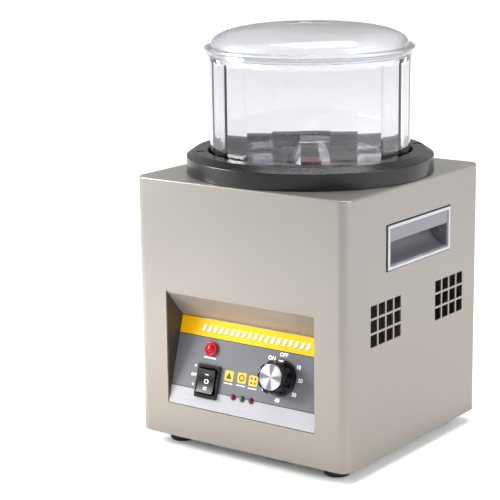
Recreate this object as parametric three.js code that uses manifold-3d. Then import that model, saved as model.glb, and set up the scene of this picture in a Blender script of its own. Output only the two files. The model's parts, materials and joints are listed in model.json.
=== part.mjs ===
// Magnetic tumbler: a square sheet-metal cabinet that spins a disc of magnets under a clear bowl.
// Millimetres, +Z up. The origin is on the bench, midway between the feet; the front faces -Y.
import * as THREE from 'three';
import { mergeVertices } from 'three/addons/utils/BufferGeometryUtils.js';
import Module from 'manifold-3d';

const wasm = await Module();
wasm.setup();

// ---------- Driving dimensions ----------
const GAP = 0.3;

const WIDTH = 230;
const DEPTH = 230;
const FOOT_HEIGHT = 12;
const CABINET_HEIGHT = 241;
const SHEET = 1.5;
const CORNER_RADIUS = 10;
const TOP_BEND = 1.6;
const BOTTOM_Z = FOOT_HEIGHT;
const TOP_Z = BOTTOM_Z + CABINET_HEIGHT;
const FRONT_Y = -DEPTH / 2;
const REAR_Y = DEPTH / 2;
const SIDE_X = WIDTH / 2;

const FOOT_RADIUS = 12;
const FOOT_INSET = 28;

// Slanted control panel, let into the front
const PANEL_TILT = THREE.MathUtils.degToRad(16.57);
const PANEL_LENGTH = 82.7;
const PANEL_HALF_WIDTH = 81.5;
const PANEL_BOTTOM_Z = BOTTOM_Z + 31.5;
const RECESS_TOP_Z = BOTTOM_Z + 138;
const OVERLAY_THICKNESS = 0.6;
const PAN_THICKNESS = 1.2;

// Places on the panel: x across, v up from its bottom edge
const LAMP_AT = { x: -41.5, v: 55.7 };
const ROCKER_AT = { x: -40, v: 26 };
const DIAL_AT = { x: 38, v: 42.2 };
const LED_V = 16.7;
const LED_PITCH = 10;
const DIAL_HEIGHT = 17.2;
const DIAL_CAP_RADIUS = 11.8;
const DIAL_CAP_BEVEL = 0.4;

// Bowl, lid and the ring they sit in
const RING_RADIUS = 113.9;
const RING_FLAT_RADIUS = 106.5;
const RING_BORE = 94;
const RING_WALL_HEIGHT = 15;
const RING_HEIGHT = 20;
const BOWL_RADIUS = 92.5;
const BOWL_FOOT_RADIUS = 92;
const FACETS = 22;
const FACET_PHASE = THREE.MathUtils.degToRad(4.5);
const FACET_INRADIUS = 87.4;
const COLLAR_BORE = 89.2;
const COLLAR_DEPTH = 3.5;
const SHOULDER_SLOPE = 4;
const BOWL_FLOOR = 3;
const HUB_HEIGHT = 24;
const LID_FLANGE_Z = TOP_Z + 111.3;
const LID_FLANGE_THICKNESS = 3.4;
const LID_FLANGE_RADIUS = 96;
const DOME_RADIUS = 89.9;
const DOME_HEIGHT = 19.6;
const DOME_POWER = 2.57;
const LID_WALL = 2.5;

// Well under the bowl
const WELL_HOLE_RADIUS = 88;
const WELL_PLATE_RADIUS = 93.2;
const WELL_PLATE_THICKNESS = 2;
const WELL_TOP_Z = TOP_Z + GAP + WELL_PLATE_THICKNESS;
const BOWL_Z = WELL_TOP_Z + GAP;

// Recessed handles
const HANDLE_Y = 5.4;
const HANDLE_Z = BOTTOM_Z + 188.5;
const HANDLE_LENGTH = 108.2;
const HANDLE_HEIGHT = 40;
const HANDLE_RIM = 3;
const SCOOP_DEPTH = 19;
const GRIP_PLATE_HEIGHT = 11.5;

// Side vents
const VENT_HOLE = 10.9;
const VENT_PITCH = 13.1;
const VENT_COLUMNS = 4;
const VENT_ROWS = 3;
const VENT_CENTRES_Y = [-51.7, 58.8];
const VENT_TOP_Z = BOTTOM_Z + 142.4;

// Drive
const MOTOR_RADIUS = 50;
const MOTOR_BOTTOM_Z = 100;
const MOTOR_TOP_Z = 207.7;
const SHAFT_RADIUS = 5;
const MAGNET_DISC_RADIUS = 80;
const MAGNET_COUNT = 6;
const BEARING_RADIUS = 13;
const BEARING_HEIGHT = 8;
const BEARING_INSET = 4.4;
const BELL_DEPTH = 17;
const WINDING = { inner: 33, outer: 44, height: 11 };
const DRIVE_SEGMENTS = 28;

// ---------- Finishes ----------
const finish = (color, roughness, metalness) => new THREE.MeshStandardMaterial({ color, roughness, metalness });
const PAINT = finish(0xc4beb7, 0.45, 0.15);
const BLACK_PLASTIC = finish(0x232326, 0.4, 0);
const CLEAR = new THREE.MeshStandardMaterial({
  color: 0xf2f4f6, roughness: 0.05, metalness: 0, transparent: true, opacity: 0.35,
});
const RUBBER = finish(0x151515, 0.85, 0);
const PRINT = finish(0x74757c, 0.4, 0);
const RED = finish(0xa01420, 0.2, 0);
const GREEN = finish(0x1d6b35, 0.2, 0);
const SILVER = finish(0xb4b6ba, 0.35, 0.8);
const STEEL = finish(0xc0c2c4, 0.3, 1);
const CAST = finish(0x8d9194, 0.6, 0.6);
const COPPER = finish(0xa8623a, 0.4, 0.8);
const NICKEL = finish(0xd0d0cc, 0.2, 1);
const BOARD = finish(0x1f5a38, 0.5, 0);
const IVORY = finish(0xe6e2d6, 0.5, 0);

// ---------- Solids ----------
/** A closed manifold solid from a three.js geometry. */
function solid(geometry) {
  const bare = geometry.clone();
  bare.deleteAttribute('normal');
  bare.deleteAttribute('uv');
  const merged = mergeVertices(bare, 1e-4);
  const triVerts = [];
  const index = merged.index.array;
  for (let i = 0; i < index.length; i += 3) {
    const [a, b, c] = [index[i], index[i + 1], index[i + 2]];
    if (a !== b && b !== c && c !== a) triVerts.push(a, b, c);
  }
  return new wasm.Manifold(new wasm.Mesh({
    numProp: 3,
    vertProperties: new Float32Array(merged.attributes.position.array),
    triVerts: new Uint32Array(triVerts),
  }));
}

const join = (...solids) => solids.reduce((a, b) => a.add(b));
const cut = (body, ...tools) => tools.reduce((a, b) => a.subtract(b), body);

/** Adds a solid to a parent as a named mesh. */
function addPart(parent, name, body, material) {
  const { vertProperties, triVerts, numProp } = body.getMesh();
  const positions = new Float32Array((vertProperties.length / numProp) * 3);
  for (let i = 0; i < positions.length / 3; i += 1) {
    for (let k = 0; k < 3; k += 1) positions[3 * i + k] = vertProperties[numProp * i + k];
  }
  const geometry = new THREE.BufferGeometry();
  geometry.setAttribute('position', new THREE.BufferAttribute(positions, 3));
  geometry.setIndex(Array.from(triVerts));
  geometry.computeVertexNormals();
  const mesh = new THREE.Mesh(geometry, material);
  mesh.name = name;
  parent.add(mesh);
  return mesh;
}

/** Box between two opposite corners, in any order. */
function box(x0, x1, y0, y1, z0, z1) {
  const geometry = new THREE.BoxGeometry(Math.abs(x1 - x0), Math.abs(y1 - y0), Math.abs(z1 - z0));
  geometry.translate((x0 + x1) / 2, (y0 + y1) / 2, (z0 + z1) / 2);
  return solid(geometry);
}

/** Upright cylinder. */
function drum(x, y, radius, z0, z1, segments = 32) {
  const geometry = new THREE.CylinderGeometry(radius, radius, z1 - z0, segments);
  geometry.rotateX(Math.PI / 2);
  geometry.translate(x, y, (z0 + z1) / 2);
  return solid(geometry);
}

/** Turned shape about Z from [radius, z] points that run up the outside and down the inside. */
function turned(profile, segments = 48) {
  const points = profile.map(([r, z]) => new THREE.Vector2(r, z));
  const geometry = new THREE.LatheGeometry(points, segments);
  geometry.rotateX(Math.PI / 2);
  return solid(geometry);
}

/** Turned ring with a rectangular section. */
function tube(inner, outer, z0, z1, segments = 32) {
  return turned([[inner, z0], [outer, z0], [outer, z1], [inner, z1], [inner, z0]], segments);
}

function roundedRectangle(width, height, radius) {
  const [x, y] = [width / 2, height / 2];
  const shape = new THREE.Shape();
  shape.moveTo(-x + radius, -y);
  shape.lineTo(x - radius, -y);
  shape.absarc(x - radius, -y + radius, radius, -Math.PI / 2, 0);
  shape.lineTo(x, y - radius);
  shape.absarc(x - radius, y - radius, radius, 0, Math.PI / 2);
  shape.lineTo(-x + radius, y);
  shape.absarc(-x + radius, y - radius, radius, Math.PI / 2, Math.PI);
  shape.lineTo(-x, -y + radius);
  shape.absarc(-x + radius, -y + radius, radius, Math.PI, 1.5 * Math.PI);
  return shape;
}

/** Rounded block, upright, with its section centred on x, y. */
function roundedBlock(width, height, radius, z0, z1, x = 0, y = 0, curveSegments = 4) {
  const options = { depth: z1 - z0, bevelEnabled: false, curveSegments };
  const geometry = new THREE.ExtrudeGeometry(roundedRectangle(width, height, radius), options);
  geometry.translate(x, y, z0);
  return solid(geometry);
}

/** Prism from an outline of [y, z] points, between two x values. */
function sidePrism(outline, x0, x1) {
  const shape = new THREE.Shape(outline.map(([y, z]) => new THREE.Vector2(y, z)));
  const geometry = new THREE.ExtrudeGeometry(shape, { depth: x1 - x0, bevelEnabled: false });
  geometry.rotateY(Math.PI / 2);
  geometry.rotateX(Math.PI / 2);
  geometry.translate(x0, 0, 0);
  return solid(geometry);
}

/** Prism from an outline of [x, z] points, between two y values. */
function frontPrism(outline, y0, y1) {
  const shape = new THREE.Shape(outline.map(([x, z]) => new THREE.Vector2(x, z)));
  const geometry = new THREE.ExtrudeGeometry(shape, { depth: y1 - y0, bevelEnabled: false });
  geometry.rotateX(Math.PI / 2);
  geometry.translate(0, y1, 0);
  return solid(geometry);
}

const range = (count) => Array.from({ length: count }, (_, i) => i);

// ---------- Cabinet ----------
function cabinetBlank() {
  const below = 10;
  const shape = roundedRectangle(WIDTH, DEPTH, CORNER_RADIUS);
  const geometry = new THREE.ExtrudeGeometry(shape, {
    depth: CABINET_HEIGHT + below - 2 * TOP_BEND,
    bevelThickness: TOP_BEND,
    bevelSize: TOP_BEND,
    bevelOffset: -TOP_BEND,
    bevelSegments: 3,
    curveSegments: 5,
  });
  geometry.translate(0, 0, BOTTOM_Z - below + TOP_BEND);
  const inside = roundedBlock(WIDTH - 2 * SHEET, DEPTH - 2 * SHEET, CORNER_RADIUS - SHEET,
    BOTTOM_Z - 2 * below, TOP_Z - SHEET, 0, 0, 5);
  const waste = box(-WIDTH, WIDTH, -DEPTH, DEPTH, -below, BOTTOM_Z);
  return cut(solid(geometry), inside, waste);
}

/** The vent holes of one side wall. */
function ventHoles(side) {
  const holes = [];
  for (const centre of VENT_CENTRES_Y) {
    for (const column of range(VENT_COLUMNS)) {
      for (const row of range(VENT_ROWS)) {
        const y = centre + (column - (VENT_COLUMNS - 1) / 2) * VENT_PITCH;
        const z = VENT_TOP_Z - row * VENT_PITCH;
        const [y0, y1] = [y - VENT_HOLE / 2, y + VENT_HOLE / 2];
        holes.push(box(side * (SIDE_X - 2 * SHEET), side * (SIDE_X + SHEET), y0, y1, z - VENT_HOLE, z));
      }
    }
  }
  return holes;
}

/** The cut-out that a handle drops into, with its wider gap at the front and above. */
function handleCutout(side) {
  const [frontGap, topGap, snug] = [3.5, 1.5, 0.4];
  return box(
    side * (SIDE_X - 2 * SHEET), side * (SIDE_X + SHEET),
    HANDLE_Y - HANDLE_LENGTH / 2 - frontGap, HANDLE_Y + HANDLE_LENGTH / 2 + snug,
    HANDLE_Z - HANDLE_HEIGHT / 2 - snug, HANDLE_Z + HANDLE_HEIGHT / 2 + topGap,
  );
}

const REAR_OPENING = { halfWidth: 94, bottom: BOTTOM_Z + 14, top: TOP_Z - 16 };
const REAR_OVERLAP = 9;
const REAR_THICKNESS = 1.2;
const SOCKET = { x: 62, z: BOTTOM_Z + 36, width: 27.4, height: 19.8 };

function cabinetShell() {
  const frontOpening = box(-PANEL_HALF_WIDTH, PANEL_HALF_WIDTH, FRONT_Y - SHEET, FRONT_Y + 2 * SHEET,
    PANEL_BOTTOM_Z, RECESS_TOP_Z);
  const rearOpening = box(-REAR_OPENING.halfWidth, REAR_OPENING.halfWidth, REAR_Y - 2 * SHEET, REAR_Y + SHEET,
    REAR_OPENING.bottom, REAR_OPENING.top);
  const well = drum(0, 0, WELL_HOLE_RADIUS, TOP_Z - 2 * SHEET, TOP_Z + SHEET, 60);
  const sides = [-1, 1].flatMap((side) => [...ventHoles(side), handleCutout(side)]);
  return cut(cabinetBlank(), frontOpening, rearOpening, well, ...sides);
}

function rearPanel() {
  const [y0, y1] = [REAR_Y + GAP, REAR_Y + GAP + REAR_THICKNESS];
  const halfWidth = REAR_OPENING.halfWidth + REAR_OVERLAP;
  const plate = box(-halfWidth, halfWidth, y0, y1,
    REAR_OPENING.bottom - REAR_OVERLAP, REAR_OPENING.top + REAR_OVERLAP);
  const slot = { length: 52, height: 4, pitch: 9, rows: 9, bottom: BOTTOM_Z + 104, offset: 36 };
  const slots = [-1, 1].flatMap((side) => range(slot.rows).map((row) => {
    const [x, z] = [side * slot.offset, slot.bottom + row * slot.pitch];
    return box(x - slot.length / 2, x + slot.length / 2, y0 - 1, y1 + 1, z, z + slot.height);
  }));
  const socket = box(SOCKET.x - SOCKET.width / 2 - GAP, SOCKET.x + SOCKET.width / 2 + GAP, y0 - 1, y1 + 1,
    SOCKET.z - SOCKET.height / 2 - GAP, SOCKET.z + SOCKET.height / 2 + GAP);
  return cut(plate, socket, ...slots);
}

function basePlate() {
  const clearance = SHEET + GAP;
  const plate = roundedBlock(WIDTH - 2 * clearance, DEPTH - 2 * clearance, CORNER_RADIUS - clearance,
    BOTTOM_Z, BOTTOM_Z + SHEET, 0, 0, 3);
  const slot = { length: 90, width: 5, pitch: 14, count: 7 };
  const slots = range(slot.count).map((i) => {
    const y = (i - (slot.count - 1) / 2) * slot.pitch;
    return box(-slot.length / 2, slot.length / 2, y, y + slot.width, BOTTOM_Z - 1, BOTTOM_Z + 2 * SHEET);
  });
  return cut(plate, ...slots);
}

function foot() {
  const [top, recess, chamfer, screwRadius] = [FOOT_HEIGHT - GAP, 5, 1.5, 4];
  return turned([
    [0, recess], [screwRadius, recess], [screwRadius, 0], [FOOT_RADIUS - chamfer, 0],
    [FOOT_RADIUS - 0.4, chamfer], [FOOT_RADIUS, top], [0, top],
  ], 20);
}

// ---------- Seat ring, well and bowl ----------
const RING_SCREW_RADIUS = 101.2;
const RING_SCREW = { head: 3.7, shank: 1.9, counterbore: 4.2, hole: 2.3, depth: 3 };
const RING_SCREW_ANGLES = [45, 225].map(THREE.MathUtils.degToRad);
const RING_Z = TOP_Z + GAP;
const RING_TOP_Z = TOP_Z + RING_HEIGHT;

function seatRing() {
  const [wall, lip, roof] = [3, 1.2, 6];
  const ring = turned([
    [RING_BORE, RING_Z], [RING_BORE + wall, RING_Z], [RING_BORE + wall, RING_TOP_Z - roof],
    [RING_RADIUS - wall, RING_TOP_Z - roof - 1], [RING_RADIUS - wall, RING_Z], [RING_RADIUS, RING_Z],
    [RING_RADIUS, TOP_Z + RING_WALL_HEIGHT - 0.6], [RING_RADIUS - 0.6, TOP_Z + RING_WALL_HEIGHT],
    [RING_FLAT_RADIUS, RING_TOP_Z], [RING_BORE + lip, RING_TOP_Z], [RING_BORE, RING_TOP_Z - lip],
    [RING_BORE, RING_Z],
  ], 48);
  const pockets = RING_SCREW_ANGLES.map((angle) => {
    const [x, y] = [RING_SCREW_RADIUS * Math.cos(angle), RING_SCREW_RADIUS * Math.sin(angle)];
    return join(drum(x, y, RING_SCREW.counterbore, RING_TOP_Z - RING_SCREW.depth, RING_TOP_Z + 1, 20),
      drum(x, y, RING_SCREW.hole, RING_Z, RING_TOP_Z, 12));
  });
  return cut(ring, ...pockets);
}

function ringScrew(angle) {
  const [x, y] = [RING_SCREW_RADIUS * Math.cos(angle), RING_SCREW_RADIUS * Math.sin(angle)];
  const head = drum(x, y, RING_SCREW.head, RING_TOP_Z - RING_SCREW.depth + GAP, RING_TOP_Z - 0.8, 20);
  const shank = drum(x, y, RING_SCREW.shank, RING_Z + 1, RING_TOP_Z - 2, 12);
  const hexagon = 1.6;
  const socket = drum(x, y, hexagon, RING_TOP_Z - 2.2, RING_TOP_Z, 6);
  return cut(join(head, shank), socket);
}

function wellPlate() {
  const [z0, z1] = [TOP_Z + GAP, WELL_TOP_Z];
  const bead = { radius: 70, width: 4, depth: 0.8 };
  return turned([
    [0, z0], [WELL_PLATE_RADIUS, z0], [WELL_PLATE_RADIUS, z1], [bead.radius + bead.width, z1],
    [bead.radius, z1 - bead.depth], [0, z1 - bead.depth],
  ], 60);
}

function centreBoss() {
  const [radius, height, chamfer] = [14, 7, 1.5];
  const bottom = WELL_TOP_Z + GAP - 0.8;
  return turned([
    [0, bottom], [radius, bottom], [radius, bottom + height - chamfer],
    [radius - chamfer, bottom + height], [0, bottom + height],
  ], 24);
}

const BOWL_TOP_Z = LID_FLANGE_Z - GAP;

/** Flat facets inside, a plain round collar above them and a hollow hub in the middle. */
function bowl() {
  const floorTop = BOWL_Z + BOWL_FLOOR;
  const rim = { radius: 93.8, height: 3.5 };
  const footRound = range(4).map((i) => {
    const angle = (-Math.PI / 2) * (1 - i / 3);
    return [BOWL_FOOT_RADIUS - 5 + 5 * Math.cos(angle), BOWL_Z + 5 + 5 * Math.sin(angle)];
  });
  const hub = { foot: 23, top: 14.5, wall: 2.4, roof: 2.4 };
  const hubTop = BOWL_Z + BOWL_FLOOR + HUB_HEIGHT;
  const outside = turned([
    [0, hubTop - hub.roof], [hub.top - hub.wall, hubTop - hub.roof], [hub.foot - hub.wall, BOWL_Z],
    ...footRound, [BOWL_RADIUS, BOWL_TOP_Z - rim.height - 1], [rim.radius, BOWL_TOP_Z - rim.height],
    [rim.radius, BOWL_TOP_Z], [0, BOWL_TOP_Z],
  ], 3 * FACETS);
  const collarZ = BOWL_TOP_Z - COLLAR_DEPTH;
  const corner = FACET_INRADIUS / Math.cos(Math.PI / FACETS);
  const facets = new THREE.CylinderGeometry(corner, corner, collarZ - floorTop, FACETS);
  facets.rotateX(Math.PI / 2);
  facets.rotateZ(Math.PI / 2 + FACET_PHASE);
  facets.translate(0, 0, (collarZ + floorTop) / 2);
  const shoulder = COLLAR_BORE - FACET_INRADIUS + 0.3;
  const shoulderZ = collarZ - SHOULDER_SLOPE * shoulder;
  const collar = turned([
    [0, shoulderZ], [COLLAR_BORE - shoulder, shoulderZ], [COLLAR_BORE, collarZ],
    [COLLAR_BORE, BOWL_TOP_Z + 1], [0, BOWL_TOP_Z + 1],
  ], 3 * FACETS);
  const hubSolid = turned([
    [0, floorTop - 1], [hub.foot + 0.4, floorTop - 1], [hub.foot, floorTop], [hub.top, hubTop - 1.5],
    [hub.top - 1.5, hubTop], [0, hubTop],
  ], 32);
  const cavity = cut(join(solid(facets), collar), hubSolid);
  return cut(outside, cavity);
}

/** Radius of the dome's section at a height above its foot. */
const domeRadius = (height, foot, rise) => foot * (1 - (height / rise) ** DOME_POWER) ** (1 / DOME_POWER);

function domeProfile(foot, rise, baseZ, steps) {
  return range(steps).map((i) => {
    const height = rise * Math.sin((Math.PI / 2) * (i / steps));
    return [domeRadius(height, foot, rise), baseZ + height];
  });
}

function lid() {
  const flangeTop = LID_FLANGE_Z + LID_FLANGE_THICKNESS;
  const skirt = { outer: 88.8, inner: 86.4, depth: 3 };
  const dimple = { radius: 19, depth: 1.2 };
  const outer = domeProfile(DOME_RADIUS, DOME_HEIGHT, flangeTop, 7);
  const inner = domeProfile(skirt.inner, DOME_HEIGHT - LID_WALL, flangeTop, 5).reverse();
  return turned([
    [0, flangeTop + DOME_HEIGHT - LID_WALL - dimple.depth],
    [dimple.radius, flangeTop + DOME_HEIGHT - LID_WALL - dimple.depth],
    ...inner, [skirt.inner, LID_FLANGE_Z - skirt.depth], [skirt.outer, LID_FLANGE_Z - skirt.depth],
    [skirt.outer, LID_FLANGE_Z], [LID_FLANGE_RADIUS - 0.5, LID_FLANGE_Z],
    [LID_FLANGE_RADIUS, LID_FLANGE_Z + 0.8], [LID_FLANGE_RADIUS, flangeTop - 0.8],
    [LID_FLANGE_RADIUS - 0.8, flangeTop],
    ...outer, [dimple.radius + 2, flangeTop + DOME_HEIGHT - 0.1],
    [dimple.radius, flangeTop + DOME_HEIGHT - dimple.depth], [0, flangeTop + DOME_HEIGHT - dimple.depth],
  ], 48);
}

// ---------- Recessed handles ----------
const HANDLE_FRONT = HANDLE_Y - HANDLE_LENGTH / 2;
const HANDLE_REAR = HANDLE_Y + HANDLE_LENGTH / 2;
const HANDLE_BOTTOM = HANDLE_Z - HANDLE_HEIGHT / 2;
const HANDLE_TOP = HANDLE_Z + HANDLE_HEIGHT / 2;

function handleBezel(side) {
  const [x0, x1] = [side * (SIDE_X - SHEET), side * (SIDE_X + GAP)];
  const frame = box(x0, x1, HANDLE_FRONT, HANDLE_REAR, HANDLE_BOTTOM, HANDLE_TOP);
  return cut(frame, box(x0 - side, x1 + side, HANDLE_FRONT + HANDLE_RIM, HANDLE_REAR - HANDLE_RIM,
    HANDLE_BOTTOM + HANDLE_RIM, HANDLE_TOP - HANDLE_RIM));
}

/** A finger scoop with a flat grip plate over its upper part, closed at both ends. */
function handleCup(side) {
  const wall = 1.6;
  const inset = HANDLE_RIM + GAP;
  const [y0, y1] = [HANDLE_FRONT + inset, HANDLE_REAR - inset];
  const [bottom, top] = [HANDLE_BOTTOM + inset, HANDLE_TOP - inset];
  const [faceX, gripZ] = [SIDE_X - 0.6, top - GRIP_PLATE_HEIGHT];
  const section = (depth, low, high) => [
    ...range(9).map((i) => {
      const angle = (Math.PI / 2) * (i / 8);
      return [side * (faceX - depth * Math.sin(angle)), gripZ - (gripZ - low) * Math.cos(angle)];
    }),
    [side * (faceX - depth), high],
    [side * faceX, high],
  ];
  const outside = frontPrism(section(SCOOP_DEPTH + wall, bottom, top), y0, y1);
  const inside = frontPrism(section(SCOOP_DEPTH, bottom + 1, top - wall), y0 + wall, y1 - wall);
  const mouth = box(side * (faceX - wall), side * (faceX + 1), y0 + wall, y1 - wall, bottom + 1, gripZ);
  const grip = box(side * (faceX - wall), side * faceX, y0, y1, gripZ, top);
  return join(cut(outside, inside, mouth), grip);
}

function handleGasket(side) {
  const [x0, x1] = [side * (SIDE_X - SHEET - GAP - 1.2), side * (SIDE_X - SHEET - GAP)];
  const [margin, inset] = [7, 1.6];
  const sheet = box(x0, x1, HANDLE_FRONT - margin, HANDLE_REAR + margin,
    HANDLE_BOTTOM - margin, HANDLE_TOP + margin);
  return cut(sheet, box(x0 - side, x1 + side, HANDLE_FRONT + inset, HANDLE_REAR - inset,
    HANDLE_BOTTOM + inset, HANDLE_TOP - inset));
}

// ---------- Control panel ----------
// In the panel's own frame x runs across, y up the slope from its bottom edge and z out of its face.
const PAN_FACE = -OVERLAY_THICKNESS - GAP;
const PAN_BACK = PAN_FACE - PAN_THICKNESS;

/** Point of the panel's frame that lies at v up the slope and w out of it, as [y, z] in the part's frame. */
function slopePoint(v, w) {
  return [
    FRONT_Y + v * Math.sin(PANEL_TILT) - w * Math.cos(PANEL_TILT),
    PANEL_BOTTOM_Z + v * Math.cos(PANEL_TILT) + w * Math.sin(PANEL_TILT),
  ];
}

/** Outline of the wedge-shaped recess, grown outwards by a wall thickness. */
function recessOutline(wall) {
  const w = PAN_FACE - wall;
  const [innerY, innerZ] = slopePoint(PANEL_LENGTH, w);
  const [roofY, roofZ] = [innerY - FRONT_Y, RECESS_TOP_Z - slopePoint(PANEL_LENGTH, 0)[1]];
  const rise = (wall * Math.hypot(roofY, roofZ)) / roofY;
  const slope = roofZ / roofY;
  const ahead = 8;
  return [
    [FRONT_Y - ahead, RECESS_TOP_Z + rise], [FRONT_Y, RECESS_TOP_Z + rise],
    [innerY, RECESS_TOP_Z + rise - slope * (innerY - FRONT_Y)], slopePoint(-1, w),
    [FRONT_Y - ahead, slopePoint(-1, w)[1]],
  ];
}

const ROCKER = { width: 25.2, height: 31, flange: 2, neckWidth: 22, neckHeight: 28.4, depth: 18 };
const LAMP_HOLE = 5.3;
const LED_HOLE = 2.9;
const DIAL_HOLE = 5.4;

/** Holes for the controls, as tools in the panel's frame. */
function controlHoles() {
  const [w0, w1] = [PAN_BACK - 1, 1];
  const rocker = box(ROCKER_AT.x - ROCKER.neckWidth / 2 - GAP, ROCKER_AT.x + ROCKER.neckWidth / 2 + GAP,
    ROCKER_AT.v - ROCKER.neckHeight / 2 - GAP, ROCKER_AT.v + ROCKER.neckHeight / 2 + GAP, w0, w1);
  const leds = [-1, 0, 1].map((i) => drum(i * LED_PITCH, LED_V, LED_HOLE, w0, w1, 16));
  return join(rocker, drum(LAMP_AT.x, LAMP_AT.v, LAMP_HOLE, w0, w1, 24),
    drum(DIAL_AT.x, DIAL_AT.v, DIAL_HOLE, w0, w1, 24), ...leds);
}

const panelMatrix = new THREE.Matrix4()
  .makeRotationX(Math.PI / 2 - PANEL_TILT)
  .setPosition(0, FRONT_Y, PANEL_BOTTOM_Z);

/** Moves a tool from the panel's frame into the part's frame. */
const fromPanel = (tool) => tool.transform(panelMatrix.elements);

function recessPan() {
  const wall = PAN_THICKNESS;
  const [halfInside, halfOutside] = [PANEL_HALF_WIDTH, PANEL_HALF_WIDTH + wall];
  const behind = FRONT_Y + SHEET + GAP;
  const lap = 9;
  const flange = box(-halfOutside - lap, halfOutside + lap, behind, behind + wall,
    PANEL_BOTTOM_Z - lap, RECESS_TOP_Z + lap);
  const outside = cut(sidePrism(recessOutline(wall), -halfOutside, halfOutside),
    box(-WIDTH, WIDTH, FRONT_Y - 20, behind, 0, TOP_Z));
  const inside = sidePrism(recessOutline(0), -halfInside, halfInside);
  return cut(join(flange, outside), inside, fromPanel(controlHoles()));
}

function panelOverlay() {
  const margin = 0.6;
  const plate = box(-PANEL_HALF_WIDTH + margin, PANEL_HALF_WIDTH - margin, margin, PANEL_LENGTH - margin,
    -OVERLAY_THICKNESS, 0);
  return cut(plate, controlHoles());
}

function rockerHousing() {
  const { x, v: y } = ROCKER_AT;
  const flange = roundedBlock(ROCKER.width, ROCKER.height, 1.6, GAP, GAP + ROCKER.flange, x, y, 3);
  const neck = box(x - ROCKER.neckWidth / 2, x + ROCKER.neckWidth / 2,
    y - ROCKER.neckHeight / 2, y + ROCKER.neckHeight / 2, -ROCKER.depth, GAP + 1);
  const pocket = { halfWidth: 9.6, halfHeight: 12.3, floor: -9 };
  return cut(join(flange, neck), box(x - pocket.halfWidth, x + pocket.halfWidth,
    y - pocket.halfHeight, y + pocket.halfHeight, pocket.floor, 4));
}

const ROCKER_PIVOT_W = 0.8;

/** A dished rocker whose ends are round about its pivot. */
function rockerPaddle() {
  const [halfWidth, endRadius, steps] = [9.1, 11.6, 4];
  const [topAngle, bottomAngle] = [22, -32].map(THREE.MathUtils.degToRad);
  const end = (sign) => range(steps + 1).map((i) => {
    const angle = bottomAngle + ((topAngle - bottomAngle) * i) / steps;
    return [sign * endRadius * Math.cos(angle), endRadius * Math.sin(angle)];
  });
  const dish = range(5).map((i) => {
    const t = 1 - (i + 1) / 3;
    return [endRadius * 0.9 * t, 2.5 + 1.7 * t * t];
  });
  const outline = [...end(1), ...dish, ...end(-1).reverse()];
  return sidePrism(outline, -halfWidth, halfWidth);
}

function lampLens() {
  const [radius, rim, bevel] = [6.9, 2.6, 0.8];
  const groove = { outer: 4.2, inner: 3.9, depth: 0.6 };
  const dome = { foot: 3.4, shoulder: 2.2, rise: 1.8 };
  return turned([
    [0, GAP], [radius, GAP], [radius, rim - bevel], [radius - bevel, rim], [groove.outer, rim],
    [groove.inner, rim - groove.depth], [dome.foot, rim + groove.depth],
    [dome.shoulder, rim + dome.rise - 0.3], [0, rim + dome.rise],
  ], 24);
}

function lampBody() {
  const [radius, depth, nutRadius, nutHeight] = [4.9, 22, 8, 3];
  const nut = tube(radius + 0.1, nutRadius, PAN_BACK - nutHeight, PAN_BACK - GAP, 6);
  return join(drum(0, 0, radius, -depth, -GAP, 24), nut);
}

function led() {
  const [radius, base, top] = [2.5, -5, 2.4];
  const flange = { radius: 2.9, height: 1 };
  const lens = turned([
    [0, base], [flange.radius, base], [flange.radius, base + flange.height], [radius, base + flange.height],
    [radius, 0.6], [0.7 * radius, top - 0.5], [0, top],
  ], 16);
  const leg = { offset: 1.2, half: 0.3 };
  const legs = [-leg.offset, leg.offset].map((x) => box(x - leg.half, x + leg.half, -leg.half, leg.half,
    BOARD_TOP + GAP, base + 0.5));
  return join(lens, ...legs);
}

const BOARD_TOP = -12;

function controlBoard() {
  const board = box(-24, 14, 6, 29, BOARD_TOP - 1.6, BOARD_TOP);
  const relay = box(-21, -6, 8, 27, BOARD_TOP - 15, BOARD_TOP - 1);
  const connector = box(-2, 11, 20, 27, BOARD_TOP - 9, BOARD_TOP - 1);
  const regulator = box(1, 9, 9, 13, BOARD_TOP - 12, BOARD_TOP - 1);
  return join(board, relay, connector, regulator);
}

const TIMER_SHAFT_RADIUS = 3;
const DIAL_GRIP_TOP = DIAL_HEIGHT - 1;
const DIAL_CAP_SEAT = 0.9;
const SHAFT_TIP = DIAL_HEIGHT - 4;

function timerBody() {
  const [front, back] = [PAN_BACK - GAP, -34];
  const clockwork = roundedBlock(42, 36, 3, back, front, 0, 0, 3);
  const bush = drum(0, 0, 5, front - 1, -GAP, 20);
  const boreEnd = back + 8;
  return cut(join(clockwork, bush), drum(0, 0, TIMER_SHAFT_RADIUS + GAP, boreEnd, 1, 24));
}

function timerShaft() {
  const innerEnd = -24;
  return drum(0, 0, TIMER_SHAFT_RADIUS, innerEnd, SHAFT_TIP, 24);
}

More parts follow.
